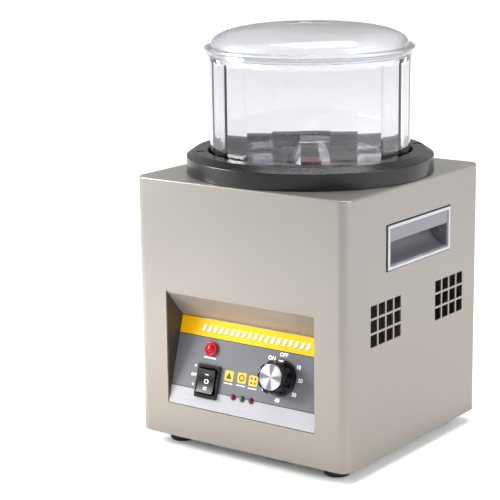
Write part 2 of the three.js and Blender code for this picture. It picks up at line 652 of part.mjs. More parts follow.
/** Skirted knob with a fluted grip and a recess on top for its metal cap. */
function dialKnob() {
  const skirt = { radius: 16.5, bottom: 0.7, top: 4.2, bevel: 0.8 };
  const grip = { radius: 15, bevel: 0.6, top: DIAL_GRIP_TOP };
  const seatFloor = grip.top - DIAL_CAP_SEAT;
  const body = turned([
    [0, skirt.bottom], [skirt.radius, skirt.bottom], [skirt.radius, skirt.top - skirt.bevel],
    [skirt.radius - skirt.bevel, skirt.top], [grip.radius, skirt.top], [grip.radius, grip.top - grip.bevel],
    [grip.radius - grip.bevel, grip.top], [DIAL_CAP_RADIUS + GAP, grip.top],
    [DIAL_CAP_RADIUS + GAP, seatFloor], [0, seatFloor],
  ], 40);
  const flutes = { count: 10, radius: 3.6, centre: 17 };
  const scallops = range(flutes.count).map((i) => {
    const angle = (2 * Math.PI * (i + 0.5)) / flutes.count;
    return drum(flutes.centre * Math.cos(angle), flutes.centre * Math.sin(angle), flutes.radius,
      skirt.top, grip.top + 1, 16);
  });
  return cut(body, drum(0, 0, TIMER_SHAFT_RADIUS + GAP, 0, SHAFT_TIP + GAP, 24), ...scallops);
}

function dialCap() {
  const bottom = DIAL_GRIP_TOP - DIAL_CAP_SEAT + GAP;
  return turned([
    [0, bottom], [DIAL_CAP_RADIUS, bottom], [DIAL_CAP_RADIUS, DIAL_HEIGHT - DIAL_CAP_BEVEL],
    [DIAL_CAP_RADIUS - DIAL_CAP_BEVEL, DIAL_HEIGHT], [0, DIAL_HEIGHT],
  ], 32);
}

// ---------- Drive ----------
const PLATE_TOP = MOTOR_TOP_Z + GAP + 3;
const DISC_BOTTOM = TOP_Z - 13.5;
const DISC_TOP = DISC_BOTTOM + 5;
const SHAFT_BOTTOM = 83;
const SHAFT_TOP = DISC_TOP - 3;
const SHAFT_BORE = SHAFT_RADIUS + 0.1;

function motorPlate() {
  const half = 76;
  return cut(roundedBlock(2 * half, 2 * half, 6, MOTOR_TOP_Z + GAP, PLATE_TOP, 0, 0, 2),
    drum(0, 0, 24, MOTOR_TOP_Z - 1, PLATE_TOP + 1, 32));
}

const standoff = (x, y) => drum(x, y, 5, PLATE_TOP + GAP, TOP_Z - SHEET - GAP, 6);

/** End bell with a bearing pocket; sign is +1 for the upper bell and -1 for the lower one. */
function motorBell(outerZ, sign) {
  const z = (depth) => outerZ - sign * depth;
  const [bore, pocket, wall] = [SHAFT_RADIUS + 2, BEARING_RADIUS + GAP, 4];
  const [web, pocketEnd] = [11, 13];
  const profile = [
    [bore, z(1)], [22, z(0)], [30, z(2)], [MOTOR_RADIUS - 3, z(6)], [MOTOR_RADIUS, z(9)],
    [MOTOR_RADIUS, z(BELL_DEPTH)], [MOTOR_RADIUS - wall, z(BELL_DEPTH)], [MOTOR_RADIUS - wall - 1, z(web)],
    [BEARING_RADIUS + wall, z(web)], [BEARING_RADIUS + wall, z(pocketEnd)], [pocket, z(pocketEnd)],
    [pocket, z(BEARING_INSET - 0.4)], [bore, z(BEARING_INSET - 0.4)], [bore, z(1)],
  ];
  return turned(sign > 0 ? profile.reverse() : profile, DRIVE_SEGMENTS);
}

const bearing = (z0) => tube(SHAFT_BORE, BEARING_RADIUS, z0, z0 + BEARING_HEIGHT, 24);

const CAN_BOTTOM = MOTOR_BOTTOM_Z + BELL_DEPTH + GAP;
const CAN_TOP = MOTOR_TOP_Z - BELL_DEPTH - GAP;
const winding = (z0, z1) => tube(WINDING.inner, WINDING.outer, z0, z1, DRIVE_SEGMENTS);
const STACK = { bottom: 134, top: 176, bore: 29.8 };

/** Aluminium hub and disc in one piece, bored from below for the shaft. */
function magnetDisc() {
  const hub = { radius: 17, bottom: PLATE_TOP + 8 };
  const body = turned([
    [0, hub.bottom], [hub.radius, hub.bottom], [hub.radius, DISC_BOTTOM], [MAGNET_DISC_RADIUS, DISC_BOTTOM],
    [MAGNET_DISC_RADIUS, DISC_TOP], [0, DISC_TOP],
  ], 36);
  return cut(body, drum(0, 0, SHAFT_RADIUS + GAP, hub.bottom - 1, SHAFT_TOP + GAP, 24));
}

function magnet(index) {
  const block = { length: 34, width: 20, height: 5.5, radius: 56 };
  const body = box(block.radius - block.length / 2, block.radius + block.length / 2, -block.width / 2,
    block.width / 2, DISC_TOP + GAP, DISC_TOP + GAP + block.height);
  return body.rotate([0, 0, (360 * index) / MAGNET_COUNT]);
}

function coolingFan() {
  const [bottom, top] = [SHAFT_BOTTOM + 1, MOTOR_BOTTOM_Z - 2];
  const blades = range(8).map((i) => box(10, 44, -0.8, 0.8, bottom, top - 1.5).rotate([0, 0, 45 * i]));
  const hub = drum(0, 0, 12, bottom, top, 24);
  const back = drum(0, 0, 45, top - 2, top, DRIVE_SEGMENTS);
  return cut(join(hub, back, ...blades), drum(0, 0, SHAFT_RADIUS + GAP, bottom - 1, top + 1, 24));
}

function runCapacitor() {
  const [radius, bottom, top] = [17.5, BOTTOM_Z + SHEET + GAP, 80];
  return turned([
    [0, bottom], [radius - 1, bottom], [radius, bottom + 1], [radius, top - 4], [radius - 1.5, top - 4],
    [radius - 1.5, top], [0, top],
  ], 24);
}

function terminalBlock() {
  const [bottom, poles, pitch] = [BOTTOM_Z + SHEET + GAP, 5, 11];
  const base = box(0, poles * pitch, -11, 11, bottom, bottom + 10);
  const tower = { inset: 1.5, half: 5, top: 17 };
  const towers = range(poles).map((i) => box(i * pitch + tower.inset, (i + 1) * pitch - tower.inset,
    -tower.half, tower.half, bottom + 9, bottom + tower.top));
  return join(base, ...towers);
}

// ---------- Mains inlet ----------
/** How far the dial's cap stands out from the middle of the part, at its lowest point. */
const DIAL_REACH = -slopePoint(DIAL_AT.v - DIAL_CAP_RADIUS + DIAL_CAP_BEVEL, DIAL_HEIGHT)[0];

/** A flanged inlet whose collar stands out as far at the back as the dial does at the front. */
function inletSocket() {
  const { x, z, width, height } = SOCKET;
  const flangeFront = REAR_Y + GAP + REAR_THICKNESS + GAP;
  const flange = { halfWidth: 25, halfHeight: 12.5, thickness: 2.6 };
  const ears = box(x - flange.halfWidth, x + flange.halfWidth, flangeFront, flangeFront + flange.thickness,
    z - flange.halfHeight, z + flange.halfHeight);
  const body = box(x - width / 2, x + width / 2, REAR_Y - 24, DIAL_REACH, z - height / 2, z + height / 2);
  const mouth = { halfWidth: 11.6, halfHeight: 7.6, depth: 12 };
  const cavity = box(x - mouth.halfWidth, x + mouth.halfWidth, REAR_Y - mouth.depth, DIAL_REACH + 1,
    z - mouth.halfHeight, z + mouth.halfHeight);
  const screw = { radius: 1.8, offset: 20 };
  const screwHoles = [-screw.offset, screw.offset].map((dx) => {
    const hole = drum(0, 0, screw.radius, -1, flange.thickness + 1, 12).rotate([-90, 0, 0]);
    return hole.translate([x + dx, flangeFront, z]);
  });
  return cut(join(ears, body), cavity, ...screwHoles);
}

// ---------- Assembly ----------
const tumbler = new THREE.Group();

addPart(tumbler, 'cabinet_shell', cabinetShell(), PAINT);
addPart(tumbler, 'rear_panel', rearPanel(), PAINT);
addPart(tumbler, 'base_plate', basePlate(), STEEL);
for (const [end, endSign] of [['front', -1], ['rear', 1]]) {
  for (const [hand, side] of [['left', -1], ['right', 1]]) {
    const rubberFoot = addPart(tumbler, `foot_${end}_${hand}`, foot(), RUBBER);
    rubberFoot.position.set(side * (SIDE_X - FOOT_INSET), endSign * (REAR_Y - FOOT_INSET), 0);
  }
}

addPart(tumbler, 'seat_ring', seatRing(), BLACK_PLASTIC);
RING_SCREW_ANGLES.forEach((angle, i) => {
  addPart(tumbler, `ring_screw_${i + 1}`, ringScrew(angle), STEEL);
});
addPart(tumbler, 'well_plate', wellPlate(), STEEL);
addPart(tumbler, 'centre_boss', centreBoss(), RED);
addPart(tumbler, 'bowl', bowl(), CLEAR);
addPart(tumbler, 'lid', lid(), CLEAR);

for (const [hand, side] of [['left', -1], ['right', 1]]) {
  addPart(tumbler, `handle_bezel_${hand}`, handleBezel(side), SILVER);
  addPart(tumbler, `handle_cup_${hand}`, handleCup(side), SILVER);
  addPart(tumbler, `handle_gasket_${hand}`, handleGasket(side), RUBBER);
}

addPart(tumbler, 'recess_pan', recessPan(), PAINT);
const panel = new THREE.Group();
panel.applyMatrix4(panelMatrix);
tumbler.add(panel);
addPart(panel, 'panel_overlay', panelOverlay(), PRINT);
addPart(panel, 'rocker_housing', rockerHousing(), BLACK_PLASTIC);
addPart(panel, 'rocker_paddle', rockerPaddle(), BLACK_PLASTIC)
  .position.set(ROCKER_AT.x, ROCKER_AT.v, ROCKER_PIVOT_W);
addPart(panel, 'power_lamp_lens', lampLens(), RED).position.set(LAMP_AT.x, LAMP_AT.v, 0);
addPart(panel, 'power_lamp_body', lampBody(), BLACK_PLASTIC).position.set(LAMP_AT.x, LAMP_AT.v, 0);
[['left', RED], ['centre', GREEN], ['right', RED]].forEach(([place, colour], i) => {
  addPart(panel, `led_${place}`, led(), colour).position.set((i - 1) * LED_PITCH, LED_V, 0);
});
addPart(panel, 'control_board', controlBoard(), BOARD);

const dial = new THREE.Group();
dial.position.set(DIAL_AT.x, DIAL_AT.v, 0);
panel.add(dial);
addPart(dial, 'timer_body', timerBody(), IVORY);
addPart(dial, 'timer_shaft', timerShaft(), STEEL);
addPart(dial, 'dial_knob', dialKnob(), BLACK_PLASTIC);
addPart(dial, 'dial_cap', dialCap(), SILVER);

addPart(tumbler, 'motor_plate', motorPlate(), STEEL);
const STANDOFF_AT = 68;
[[-1, -1], [1, -1], [1, 1], [-1, 1]].forEach(([sx, sy], i) => {
  addPart(tumbler, `motor_standoff_${i + 1}`, standoff(sx * STANDOFF_AT, sy * STANDOFF_AT), STEEL);
});
addPart(tumbler, 'motor_top_bell', motorBell(MOTOR_TOP_Z, 1), CAST);
addPart(tumbler, 'motor_bottom_bell', motorBell(MOTOR_BOTTOM_Z, -1), CAST);
addPart(tumbler, 'motor_can', tube(MOTOR_RADIUS - 3, MOTOR_RADIUS, CAN_BOTTOM, CAN_TOP, DRIVE_SEGMENTS), CAST);
addPart(tumbler, 'upper_bearing', bearing(MOTOR_TOP_Z - BEARING_INSET - BEARING_HEIGHT), STEEL);
addPart(tumbler, 'lower_bearing', bearing(MOTOR_BOTTOM_Z + BEARING_INSET), STEEL);
addPart(tumbler, 'stator_core',
  tube(STACK.bore, MOTOR_RADIUS - 3.4, STACK.bottom, STACK.top, DRIVE_SEGMENTS), CAST);
addPart(tumbler, 'upper_winding', winding(STACK.top + GAP, STACK.top + WINDING.height), COPPER);
addPart(tumbler, 'lower_winding', winding(STACK.bottom - WINDING.height, STACK.bottom - GAP), COPPER);
addPart(tumbler, 'rotor_core', tube(SHAFT_RADIUS + GAP, 28.6, STACK.bottom, STACK.top, DRIVE_SEGMENTS), CAST);
addPart(tumbler, 'motor_shaft', drum(0, 0, SHAFT_RADIUS, SHAFT_BOTTOM, SHAFT_TOP, 24), STEEL);
addPart(tumbler, 'magnet_disc', magnetDisc(), SILVER);
range(MAGNET_COUNT).forEach((i) => addPart(tumbler, `magnet_${i + 1}`, magnet(i), NICKEL));
addPart(tumbler, 'cooling_fan', coolingFan(), BLACK_PLASTIC);

addPart(tumbler, 'run_capacitor', runCapacitor(), SILVER).position.set(70, 62, 0);
addPart(tumbler, 'terminal_block', terminalBlock(), IVORY).position.set(-88, 78, 0);
addPart(tumbler, 'inlet_socket', inletSocket(), BLACK_PLASTIC);

export default tumbler;
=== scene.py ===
"""Magnetic tumbler: the finished surfaces of a bench machine that spins magnets under a clear bowl."""
import json
from math import atan, ceil, copysign, cos, pi, radians, sin, sqrt, tan

import bmesh
import bpy
from mathutils import Matrix, Vector


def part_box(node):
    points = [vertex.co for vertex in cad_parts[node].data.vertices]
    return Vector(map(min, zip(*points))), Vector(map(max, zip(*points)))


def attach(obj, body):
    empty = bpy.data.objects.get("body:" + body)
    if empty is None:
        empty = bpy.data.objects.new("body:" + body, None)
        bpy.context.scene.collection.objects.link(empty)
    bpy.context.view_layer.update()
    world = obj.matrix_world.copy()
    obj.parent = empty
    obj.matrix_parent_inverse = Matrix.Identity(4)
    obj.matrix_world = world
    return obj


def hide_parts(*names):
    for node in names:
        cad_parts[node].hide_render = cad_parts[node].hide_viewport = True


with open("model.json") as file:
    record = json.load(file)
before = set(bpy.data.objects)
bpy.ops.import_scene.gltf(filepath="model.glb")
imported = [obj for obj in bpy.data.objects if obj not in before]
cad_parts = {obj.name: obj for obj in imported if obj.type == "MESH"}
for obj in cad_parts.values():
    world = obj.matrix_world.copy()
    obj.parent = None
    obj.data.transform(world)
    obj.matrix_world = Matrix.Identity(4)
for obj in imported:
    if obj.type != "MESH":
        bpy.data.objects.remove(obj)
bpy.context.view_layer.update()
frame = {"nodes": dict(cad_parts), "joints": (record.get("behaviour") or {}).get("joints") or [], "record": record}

scene = bpy.context.scene

# Shapes are drawn in millimetres and scaled to metres when they are placed.
MM = 0.001
UPRIGHT = Matrix.Identity(4)
FACE_DOWN = Matrix.Rotation(pi, 4, "X")
LIE_BACK = Matrix.Rotation(pi / 2, 4, "X")
FACE_REAR = Matrix.Rotation(pi, 4, "Z") @ LIE_BACK
TURN_SEGMENTS = 160
TAU = 2 * pi
QUARTER_TURN = [radians(15 * k) for k in range(7)]
# A ring narrower than this, in millimetres, is a single point.
POLE = 1e-6


def span(node):
    """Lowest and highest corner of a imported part, in millimetres."""
    low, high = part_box(node)
    return low / MM, high / MM


def middle(node):
    """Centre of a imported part, in millimetres."""
    low, high = span(node)
    return (low + high) / 2


def add(name, data):
    """Puts a mesh or other data into the scene as an object."""
    obj = bpy.data.objects.new(name, data)
    scene.collection.objects.link(obj)
    return obj


def fitted(thing, **settings):
    """Sets attributes of a thing and returns it."""
    for name, value in settings.items():
        setattr(thing, name, value)
    return thing


def at(x, y, z=0):
    """Matrix that moves a shape to a place."""
    return Matrix.Translation((x, y, z))


# ---- camera
def make_camera():
    azimuth, elevation, roll = (radians(angle) for angle in (36.267, 12.762, -0.69))
    aim, distance = Vector((0, 0, 0.162)), 1.6
    slide_right, slide_up = -0.056622, 0.013693
    back = Vector((
        sin(azimuth) * cos(elevation),
        -cos(azimuth) * cos(elevation),
        sin(elevation),
    ))
    level = Vector((cos(azimuth), sin(azimuth), 0))
    upright = back.cross(level)
    right = level * cos(roll) + upright * sin(roll)
    up = upright * cos(roll) - level * sin(roll)
    place = aim + right * slide_right + up * slide_up + back * distance
    camera = add("camera", fitted(bpy.data.cameras.new("camera"), sensor_width=36, lens=123.03, clip_start=0.01))
    camera.matrix_world = Matrix.Translation(place) @ Matrix((right, up, back)).transposed().to_4x4()
    scene.camera = camera


make_camera()


# ---- node graphs
def maths(operation, swapped=False):
    """A method that adds a Math node; swapped puts the other value first."""
    def method(self, other):
        pair = (other, self) if swapped else (self, other)
        return self.graph.node("ShaderNodeMath", {"operation": operation}, dict(enumerate(pair)))
    return method


class Value:
    """A socket's value; arithmetic on it adds Math nodes to its graph."""

    def __init__(self, graph, socket):
        self.graph = graph
        self.socket = socket

    __add__ = __radd__ = maths("ADD")
    __mul__ = __rmul__ = maths("MULTIPLY")
    __sub__, __rsub__ = maths("SUBTRACT"), maths("SUBTRACT", swapped=True)
    __truediv__ = maths("DIVIDE")
    __gt__ = maths("GREATER_THAN")
    __lt__ = maths("LESS_THAN")


def socket_of(sockets, key):
    if isinstance(key, int):
        return sockets[key]
    return next((socket for socket in sockets if socket.identifier == key), None) or sockets[key]


class Graph:
    """Builds a shader or geometry tree, one node to a call."""

    def __init__(self, tree):
        self.tree = tree

    def node(self, kind, settings=None, sockets=None, output=0):
        node = fitted(self.tree.nodes.new(kind), **(settings or {}))
        for key, value in (sockets or {}).items():
            socket = socket_of(node.inputs, key)
            if isinstance(value, Value):
                self.tree.links.new(value.socket, socket)
            else:
                socket.default_value = value
        return Value(self, socket_of(node.outputs, output)) if node.outputs else node

    def ramp(self, value, low, high):
        """0 below low, 1 above high."""
        return self.node("ShaderNodeMapRange", {"interpolation_type": "SMOOTHSTEP"},
                         {"Value": value, "From Min": low, "From Max": high})

    def vector(self, operation, first, second=None, output=0):
        sockets = {0: first} if second is None else {0: first, 1: second}
        return self.node("ShaderNodeVectorMath", {"operation": operation}, sockets, output)

    def along(self, vector, axis):
        """The part of a vector along X, Y or Z."""
        return self.node("ShaderNodeSeparateXYZ", sockets={"Vector": vector}, output=axis)


def colour(red, green, blue):
    """Linear colour from display values of 0 to 255."""
    def linear(value):
        share = value / 255
        return share / 12.92 if share <= 0.04045 else ((share + 0.055) / 1.055) ** 2.4
    return (linear(red), linear(green), linear(blue), 1)


class Finish(Graph):
    """A material; its patterns are laid out in object coordinates."""

    def __init__(self, name):
        self.material = bpy.data.materials.new(name)
        self.material.use_nodes = True
        super().__init__(self.material.node_tree)
        self.tree.nodes.clear()

    def place(self, scale=(1, 1, 1)):
        object_place = self.node("ShaderNodeTexCoord", output="Object")
        return self.node("ShaderNodeMapping", {"vector_type": "POINT"}, {"Vector": object_place, "Scale": scale})

    def noise(self, size, detail, scale=(1, 1, 1)):
        """Soft noise with marks about size millimetres across, longer where scale is below 1."""
        sockets = {"Vector": self.place(scale), "Scale": 1 / (size * MM), "Detail": detail, "Roughness": 0.55}
        return self.node("ShaderNodeTexNoise", sockets=sockets)

    def mix(self, factor, *pair):
        """Blend of two colours; a colour of three parts is in display values of 0 to 255."""
        first, second = (colour(*shade) if isinstance(shade, tuple) and len(shade) == 3 else shade for shade in pair)
        return self.node("ShaderNodeMix", {"data_type": "RGBA"},
                         {"Factor_Float": factor, "A_Color": first, "B_Color": second}, "Result_Color")

    def bump(self, height, depth):
        """Normal from a height of 0 to 1 that stands for depth millimetres."""
        return self.node("ShaderNodeBump", sockets={"Height": height, "Distance": depth * MM, "Strength": 1.0})

    def coat(self, base, roughness, normal=None, **constants):
        sockets = {"Base Color": base, "Roughness": roughness}
        if normal is not None:
            sockets["Normal"] = normal
        sockets.update({name.replace("_", " "): value for name, value in constants.items()})
        shader = self.node("ShaderNodeBsdfPrincipled", sockets=sockets)
        self.node("ShaderNodeOutputMaterial", sockets={"Surface": shader})
        return self.material


# ---- finishes
def painted_sheet():
    """Satin champagne powder coat: orange peel, fine flake, a little dust low down."""
    finish = Finish("body_paint")
    peel = finish.noise(1.1, 2)
    flake = finish.noise(0.22, 1)
    cloud = finish.noise(90, 2)
    height = finish.along(finish.place(), "Z")
    dust = 1 - finish.ramp(height, 0.012, 0.03)
    warmth = 1 - finish.ramp(height, 0.02, 0.24)
    tone = finish.mix(flake * 0.6 + cloud * 0.4, (129, 125, 121), (140, 136, 131))
    tone = finish.mix(warmth * 0.35, tone, (142, 131, 117))
    base = finish.mix(dust * 0.25, tone, (120, 113, 104))
    roughness = 0.27 + peel * 0.08 + dust * 0.1
    normal = finish.bump(peel * 0.7 + flake * 0.3, 0.012)
    return finish.coat(base, roughness, normal, Metallic=0.55)


def recess_paint_and_shade():
    """The same coat inside the recess, with painted shade on the two cheeks that face across it: their colour is
    darkened where shade falls.
    """
    finish = Finish("recess_paint_and_shade")
    peel = finish.noise(1.1, 2)
    cloud = finish.noise(40, 2)
    facing = finish.node("ShaderNodeNewGeometry", output="Normal")
    sideways = finish.along(facing, "X")
    # Painted shade: the sideways faces, the cheeks, are coloured dark for the shade that falls on them.
    cheek_painted_shade = finish.ramp(sideways * sideways, 0.4, 0.6)
    tone = finish.mix(cloud, (138, 129, 119), (150, 141, 130))
    base = finish.mix(cheek_painted_shade, tone, finish.mix(cloud, (62, 58, 52), (84, 79, 72)))
    return finish.coat(base, 0.3 + peel * 0.1, finish.bump(peel, 0.012), Metallic=0.3)


def frosted_moulding():
    """Clear plastic dulled by a fine bloom, with soft flow marks."""
    return moulded("lid_plastic", (241, 242, 244), (233, 234, 237), (22, 3, (1, 1, 0.5)), (0, 1), (0.1, 0, 0.12), 0.08,
                   (5, 4), IOR=1.49, Transmission_Weight=0.94)


def moulded(name, dark, light, grain, tone, rough, depth, cloud=None, edges=None, **constants):
    """A fine grain for the relief, and a cloud over it that edges make patchy; each is a size and a detail.

    The tone is a share of each, and the roughness is a least value and a share of each.
    """
    finish = Finish(name)
    marks = [finish.noise(*grain)]
    if cloud:
        marks.append(finish.noise(*cloud))
    relief = finish.bump(marks[0], depth)
    if edges:
        marks[-1] = finish.ramp(marks[-1], *edges)

    def blend(shares):
        return sum(mark * share for mark, share in zip(marks, shares) if share)

    return finish.coat(finish.mix(blend(tone), dark, light), rough[0] + blend(rough[1:]), relief, **constants)


def lens_moulding(name, dark, light):
    """Deep coloured lens, moulded with a faint pebble inside."""
    return moulded(name, dark, light, (1.4, 1), (1,), (0.1, 0.06), 0.006, IOR=1.42)


def ink(name, dark, light):
    """A printed ink, a little uneven at the edges of the screen's mesh."""
    return moulded(name, dark, light, (0.3, 2), (1,), (0.4, 0.15), 0.01)


def silver_moulding(name, dark, light):
    """Metallic silver-grey moulding with a fine sparkle."""
    return moulded(name, dark, light, (0.2, 1), (0.5, 0.5), (0.3, 0, 0.12), 0.01, (12, 3), Metallic=0.45)


def zinc():
    """Zinc plate: spangled, slightly yellow where the passivation pools."""
    finish = Finish("zinc_steel")
    cells = finish.node("ShaderNodeTexVoronoi", sockets={"Vector": finish.place(), "Scale": 1 / (3 * MM)},
                        output="Color")
    spangle = finish.node("ShaderNodeSeparateColor", sockets={"Color": cells})
    pool = finish.ramp(finish.noise(18, 3), 0.45, 0.7)
    tone = finish.mix(spangle, (160, 162, 164), (192, 194, 196))
    base = finish.mix(pool * 0.3, tone, (196, 190, 160))
    return finish.coat(base, 0.26 + spangle * 0.14, finish.bump(spangle, 0.005), Metallic=1.0)


def laminations():
    """Stacked sheets, half a millimetre thick, lightly rusted."""
    finish = Finish("lamination")
    sheet_height = 0.5 * MM
    sheet = finish.node("ShaderNodeMath", {"operation": "PINGPONG"},
                        {0: finish.along(finish.place(), "Z"), 1: sheet_height / 2})
    rust = finish.ramp(finish.noise(4, 4), 0.5, 0.7)
    base = finish.mix(rust * 0.5, (96, 98, 104), (120, 78, 56))
    return finish.coat(base, 0.45 + rust * 0.3, finish.bump(sheet * (2 / sheet_height), 0.1), Metallic=0.8)


def windings():
    """Enamelled turns that run round the motor, tied over each other."""
    finish = Finish("copper_wire")
    rings = finish.node("ShaderNodeTexWave", {"wave_type": "RINGS", "rings_direction": "Z"},
                        {"Vector": finish.place(), "Scale": 1 / (5 * MM), "Distortion": 1.5, "Detail": 2.0})
    base = finish.mix(rings, (104, 50, 26), (196, 112, 62))
    return finish.coat(base, 0.28 + rings * 0.1, finish.bump(rings, 0.4), Metallic=0.7, Coat_Weight=0.4)


def moulding(name, dark, light, rough):
    """Plain moulding of an inner part."""
    return moulded(name, dark, light, (0.6, 3), (0, 1), (rough, 0.12), 0.02, (12, 3))


def circuit_board():
    """Green solder mask over raised copper tracks."""
    finish = Finish("circuit_board")
    tracks = finish.node("ShaderNodeTexBrick", {"offset": 0.5},
                         {"Vector": finish.place(), "Scale": 1 / (12 * MM), "Mortar Size": 0.03}, "Fac")
    base = finish.mix(tracks, (24, 84, 50), (40, 116, 66))
    return finish.coat(base, 0.35 + tracks * 0.1, finish.bump(tracks, 0.05))


# ---- panel frame
# On the panel x runs across, y up the slope from its bottom edge and z out of its face.
dial_joint = next(joint for joint in frame["joints"] if joint["name"] == "timer_turn")
DIAL_AT = Vector((38, 42.2))
PANEL_OUT = -Vector(dial_joint["axis"]).normalized()
PANEL_UP = PANEL_OUT.cross(Vector((1, 0, 0)))
PANEL_LOW, PANEL_HIGH = span("panel_overlay")
PANEL_LENGTH = (PANEL_HIGH.z - PANEL_LOW.z) / PANEL_UP.z


def panel_matrix(x=0.0, y=0.0, z=0.0):
    """Places a shape on the panel, at x across, y up the slope and z out of it."""
    across = Vector((1, 0, 0))
    centre = Vector(dial_joint["pos_m"]) / MM
    place = centre + across * (x - DIAL_AT.x) + PANEL_UP * (y - DIAL_AT.y) + PANEL_OUT * z
    turn = Matrix((across, PANEL_UP, PANEL_OUT)).transposed().to_4x4()
    return Matrix.Translation(place) @ turn


WHITE_BAND_TOP = 17.3
YELLOW_BAND_BOTTOM = 65.7


def printed_panel():
    """Screen-printed overlay: white, grey and yellow bands with thin dark lines between them."""
    finish = Finish("panel_print")
    origin = panel_matrix().translation * MM
    place = finish.node("ShaderNodeTexCoord", output="Object")
    up = finish.vector("DOT_PRODUCT", finish.vector("SUBTRACT", place, origin), PANEL_UP / MM, "Value")
    weave = finish.noise(0.45, 2)
    cloud = finish.noise(30, 2)
    grey = finish.mix(cloud, (99, 99, 105), (111, 111, 117))
    lower = finish.mix(up > WHITE_BAND_TOP, (162, 162, 167), grey)
    bands = finish.mix(up > YELLOW_BAND_BOTTOM, lower, (240, 180, 0))
    half_line = 0.35
    low_line, high_line = ((up > edge - half_line) * (up < edge + half_line)
                           for edge in (WHITE_BAND_TOP, YELLOW_BAND_BOTTOM))
    base = finish.mix(low_line + high_line, bands, (48, 46, 50))
    return finish.coat(base, 0.34 + weave * 0.12, finish.bump(weave, 0.006), IOR=1.25)


def dial_spun():
    """Bright cap turned on a lathe: fine rings, and four dark streaks painted into its colour as the reflection that
    such a face shows.
    """
    finish = Finish("dial_face")
    centre = Vector(dial_joint["pos_m"])
    place = finish.node("ShaderNodeTexCoord", output="Object")
    arm = finish.vector("SUBTRACT", place, centre)
    radius = finish.vector("LENGTH", finish.vector("CROSS_PRODUCT", arm, PANEL_OUT), output="Value")
    rings = finish.node("ShaderNodeTexNoise", {"noise_dimensions": "1D"},
                        {"W": radius, "Scale": 1 / (0.12 * MM), "Detail": 2.0, "Roughness": 0.6})
    across, up = (finish.vector("DOT_PRODUCT", arm, axis, "Value") for axis in ((1, 0, 0), PANEL_UP))
    # Painted reflection: four dark wedges, across and up the panel, are mixed into the colour for the streaks a spun
    # face reflects.
    reflection_lobes = (across * across - up * up) / (radius * radius)
    painted_reflection_streak = 1 - finish.ramp(1 - reflection_lobes * reflection_lobes, 0.02, 0.6)
    tone = finish.mix(rings, (176, 176, 179), (206, 206, 209))
    base = finish.mix(painted_reflection_streak * 0.8, tone, (84, 84, 88))
    return finish.coat(base, 0.3 + rings * 0.1, finish.bump(rings, 0.004), Metallic=1.0)


INKS = {
    "white": ink("white_ink", (236, 236, 238), (250, 250, 250)),
    "dark": ink("dark_ink", (30, 30, 34), (44, 44, 48)),
    "grey": ink("grey_ink", (142, 142, 148), (158, 158, 164)),
    "yellow": ink("yellow_ink", (232, 168, 2), (242, 180, 6)),
}
# After its name and two tones, moulded takes its grain, the shares in the tone, the roughness, the relief's depth
# in millimetres, and where there is one its cloud and the cloud's edges.
MATERIALS = (
    painted_sheet(),
    # Satin black, finely etched, with hairline handling scratches.
    moulded("ring_plastic", (10, 10, 12), (32, 32, 35), (0.5, 3), (0, 0.3), (0.2, 0.14, 0.1), 0.01,
            (1.6, 4, (0.2, 1, 1)), (0.58, 0.7), IOR=1.42),
    # Polished, with faint flow marks and hazy rub marks.
    moulded("clear_plastic", (232, 233, 236), (224, 226, 229), (26, 2, (1, 1, 0.35)), (0, 1), (0.01, 0, 0.05), 0.05,
            (14, 4), (0.55, 0.8), IOR=1.49, Transmission_Weight=1.0),
    moulded("rubber", (20, 20, 20), (44, 43, 42), (0.6, 4), (0, 1), (0.7, 0.2), 0.06, (5, 3), (0.5, 0.75)),
    printed_panel(),
    moulded("control_plastic", (9, 9, 10), (16, 16, 18), (0.35, 2), (0, 1), (0.2, 0, 0.12), 0.005, (7, 3), IOR=1.4),
    moulded("dial_metal", (196, 197, 200), (222, 223, 226), (0.4, 2), (1,), (0.22, 0.1), 0.01, Metallic=1.0),
    lens_moulding("lamp_red", (150, 2, 20), (180, 6, 30)),
    lens_moulding("lamp_green", (2, 72, 34), (6, 96, 48)),
    moulded("boss_red", (140, 20, 38), (172, 34, 52), (0.8, 3), (1,), (0.3, 0.15), 0.02),
    silver_moulding("handle_silver", (162, 163, 170), (178, 179, 186)),
    # Long fine scratches across X, and soft stains.
    moulded("stainless", (186, 187, 188), (212, 213, 214), (0.3, 2, (0.04, 1, 1)), (0.5, 0.5), (0.28, 0.12), 0.01,
            (30, 3), Metallic=1.0),
    zinc(),
    moulded("cast_alloy", (150, 153, 156), (112, 112, 112), (0.7, 5), (0, 1), (0.5, 0.2), 0.15, (9, 4), (0.45, 0.7),
            Metallic=0.8),
    laminations(),
    windings(),
    moulded("magnet_nickel", (196, 194, 186), (222, 221, 214), (2.5, 4), (1,), (0.16, 0.12), 0.01, Metallic=1.0),
    moulding("fan_plastic", (34, 34, 36), (48, 48, 50), 0.45),
    circuit_board(),
    moulding("ivory_plastic", (222, 216, 198), (232, 227, 212), 0.4),
)
FINISHES = {material.name.split(".")[0]: material for material in MATERIALS}


# ---- outlines and skins
def rounded(corners, closed=True, step=radians(9)):
    """Outline whose corners, given as (x, y, radius), are replaced by arcs."""
    points = []
    for i, corner in enumerate(corners):
        here = Vector(corner[:2])
        radius = corner[2] if len(corner) > 2 else 0
        at_end = not closed and i in (0, len(corners) - 1)
        if not radius or at_end:
            points.append(here)
            continue
        before = (Vector(corners[i - 1][:2]) - here).normalized()
        after = (Vector(corners[(i + 1) % len(corners)][:2]) - here).normalized()
        half = before.angle(after) / 2
        centre = here + (before + after).normalized() * (radius / sin(half))
        reach = radius / tan(half)
        start, end = here + before * reach - centre, here + after * reach - centre
        sweep = copysign(pi - 2 * half, start.cross(end))
        steps = max(2, ceil(abs(sweep) / step))
        points += [centre + Matrix.Rotation(sweep * k / steps, 2) @ start for k in range(steps + 1)]
    return points


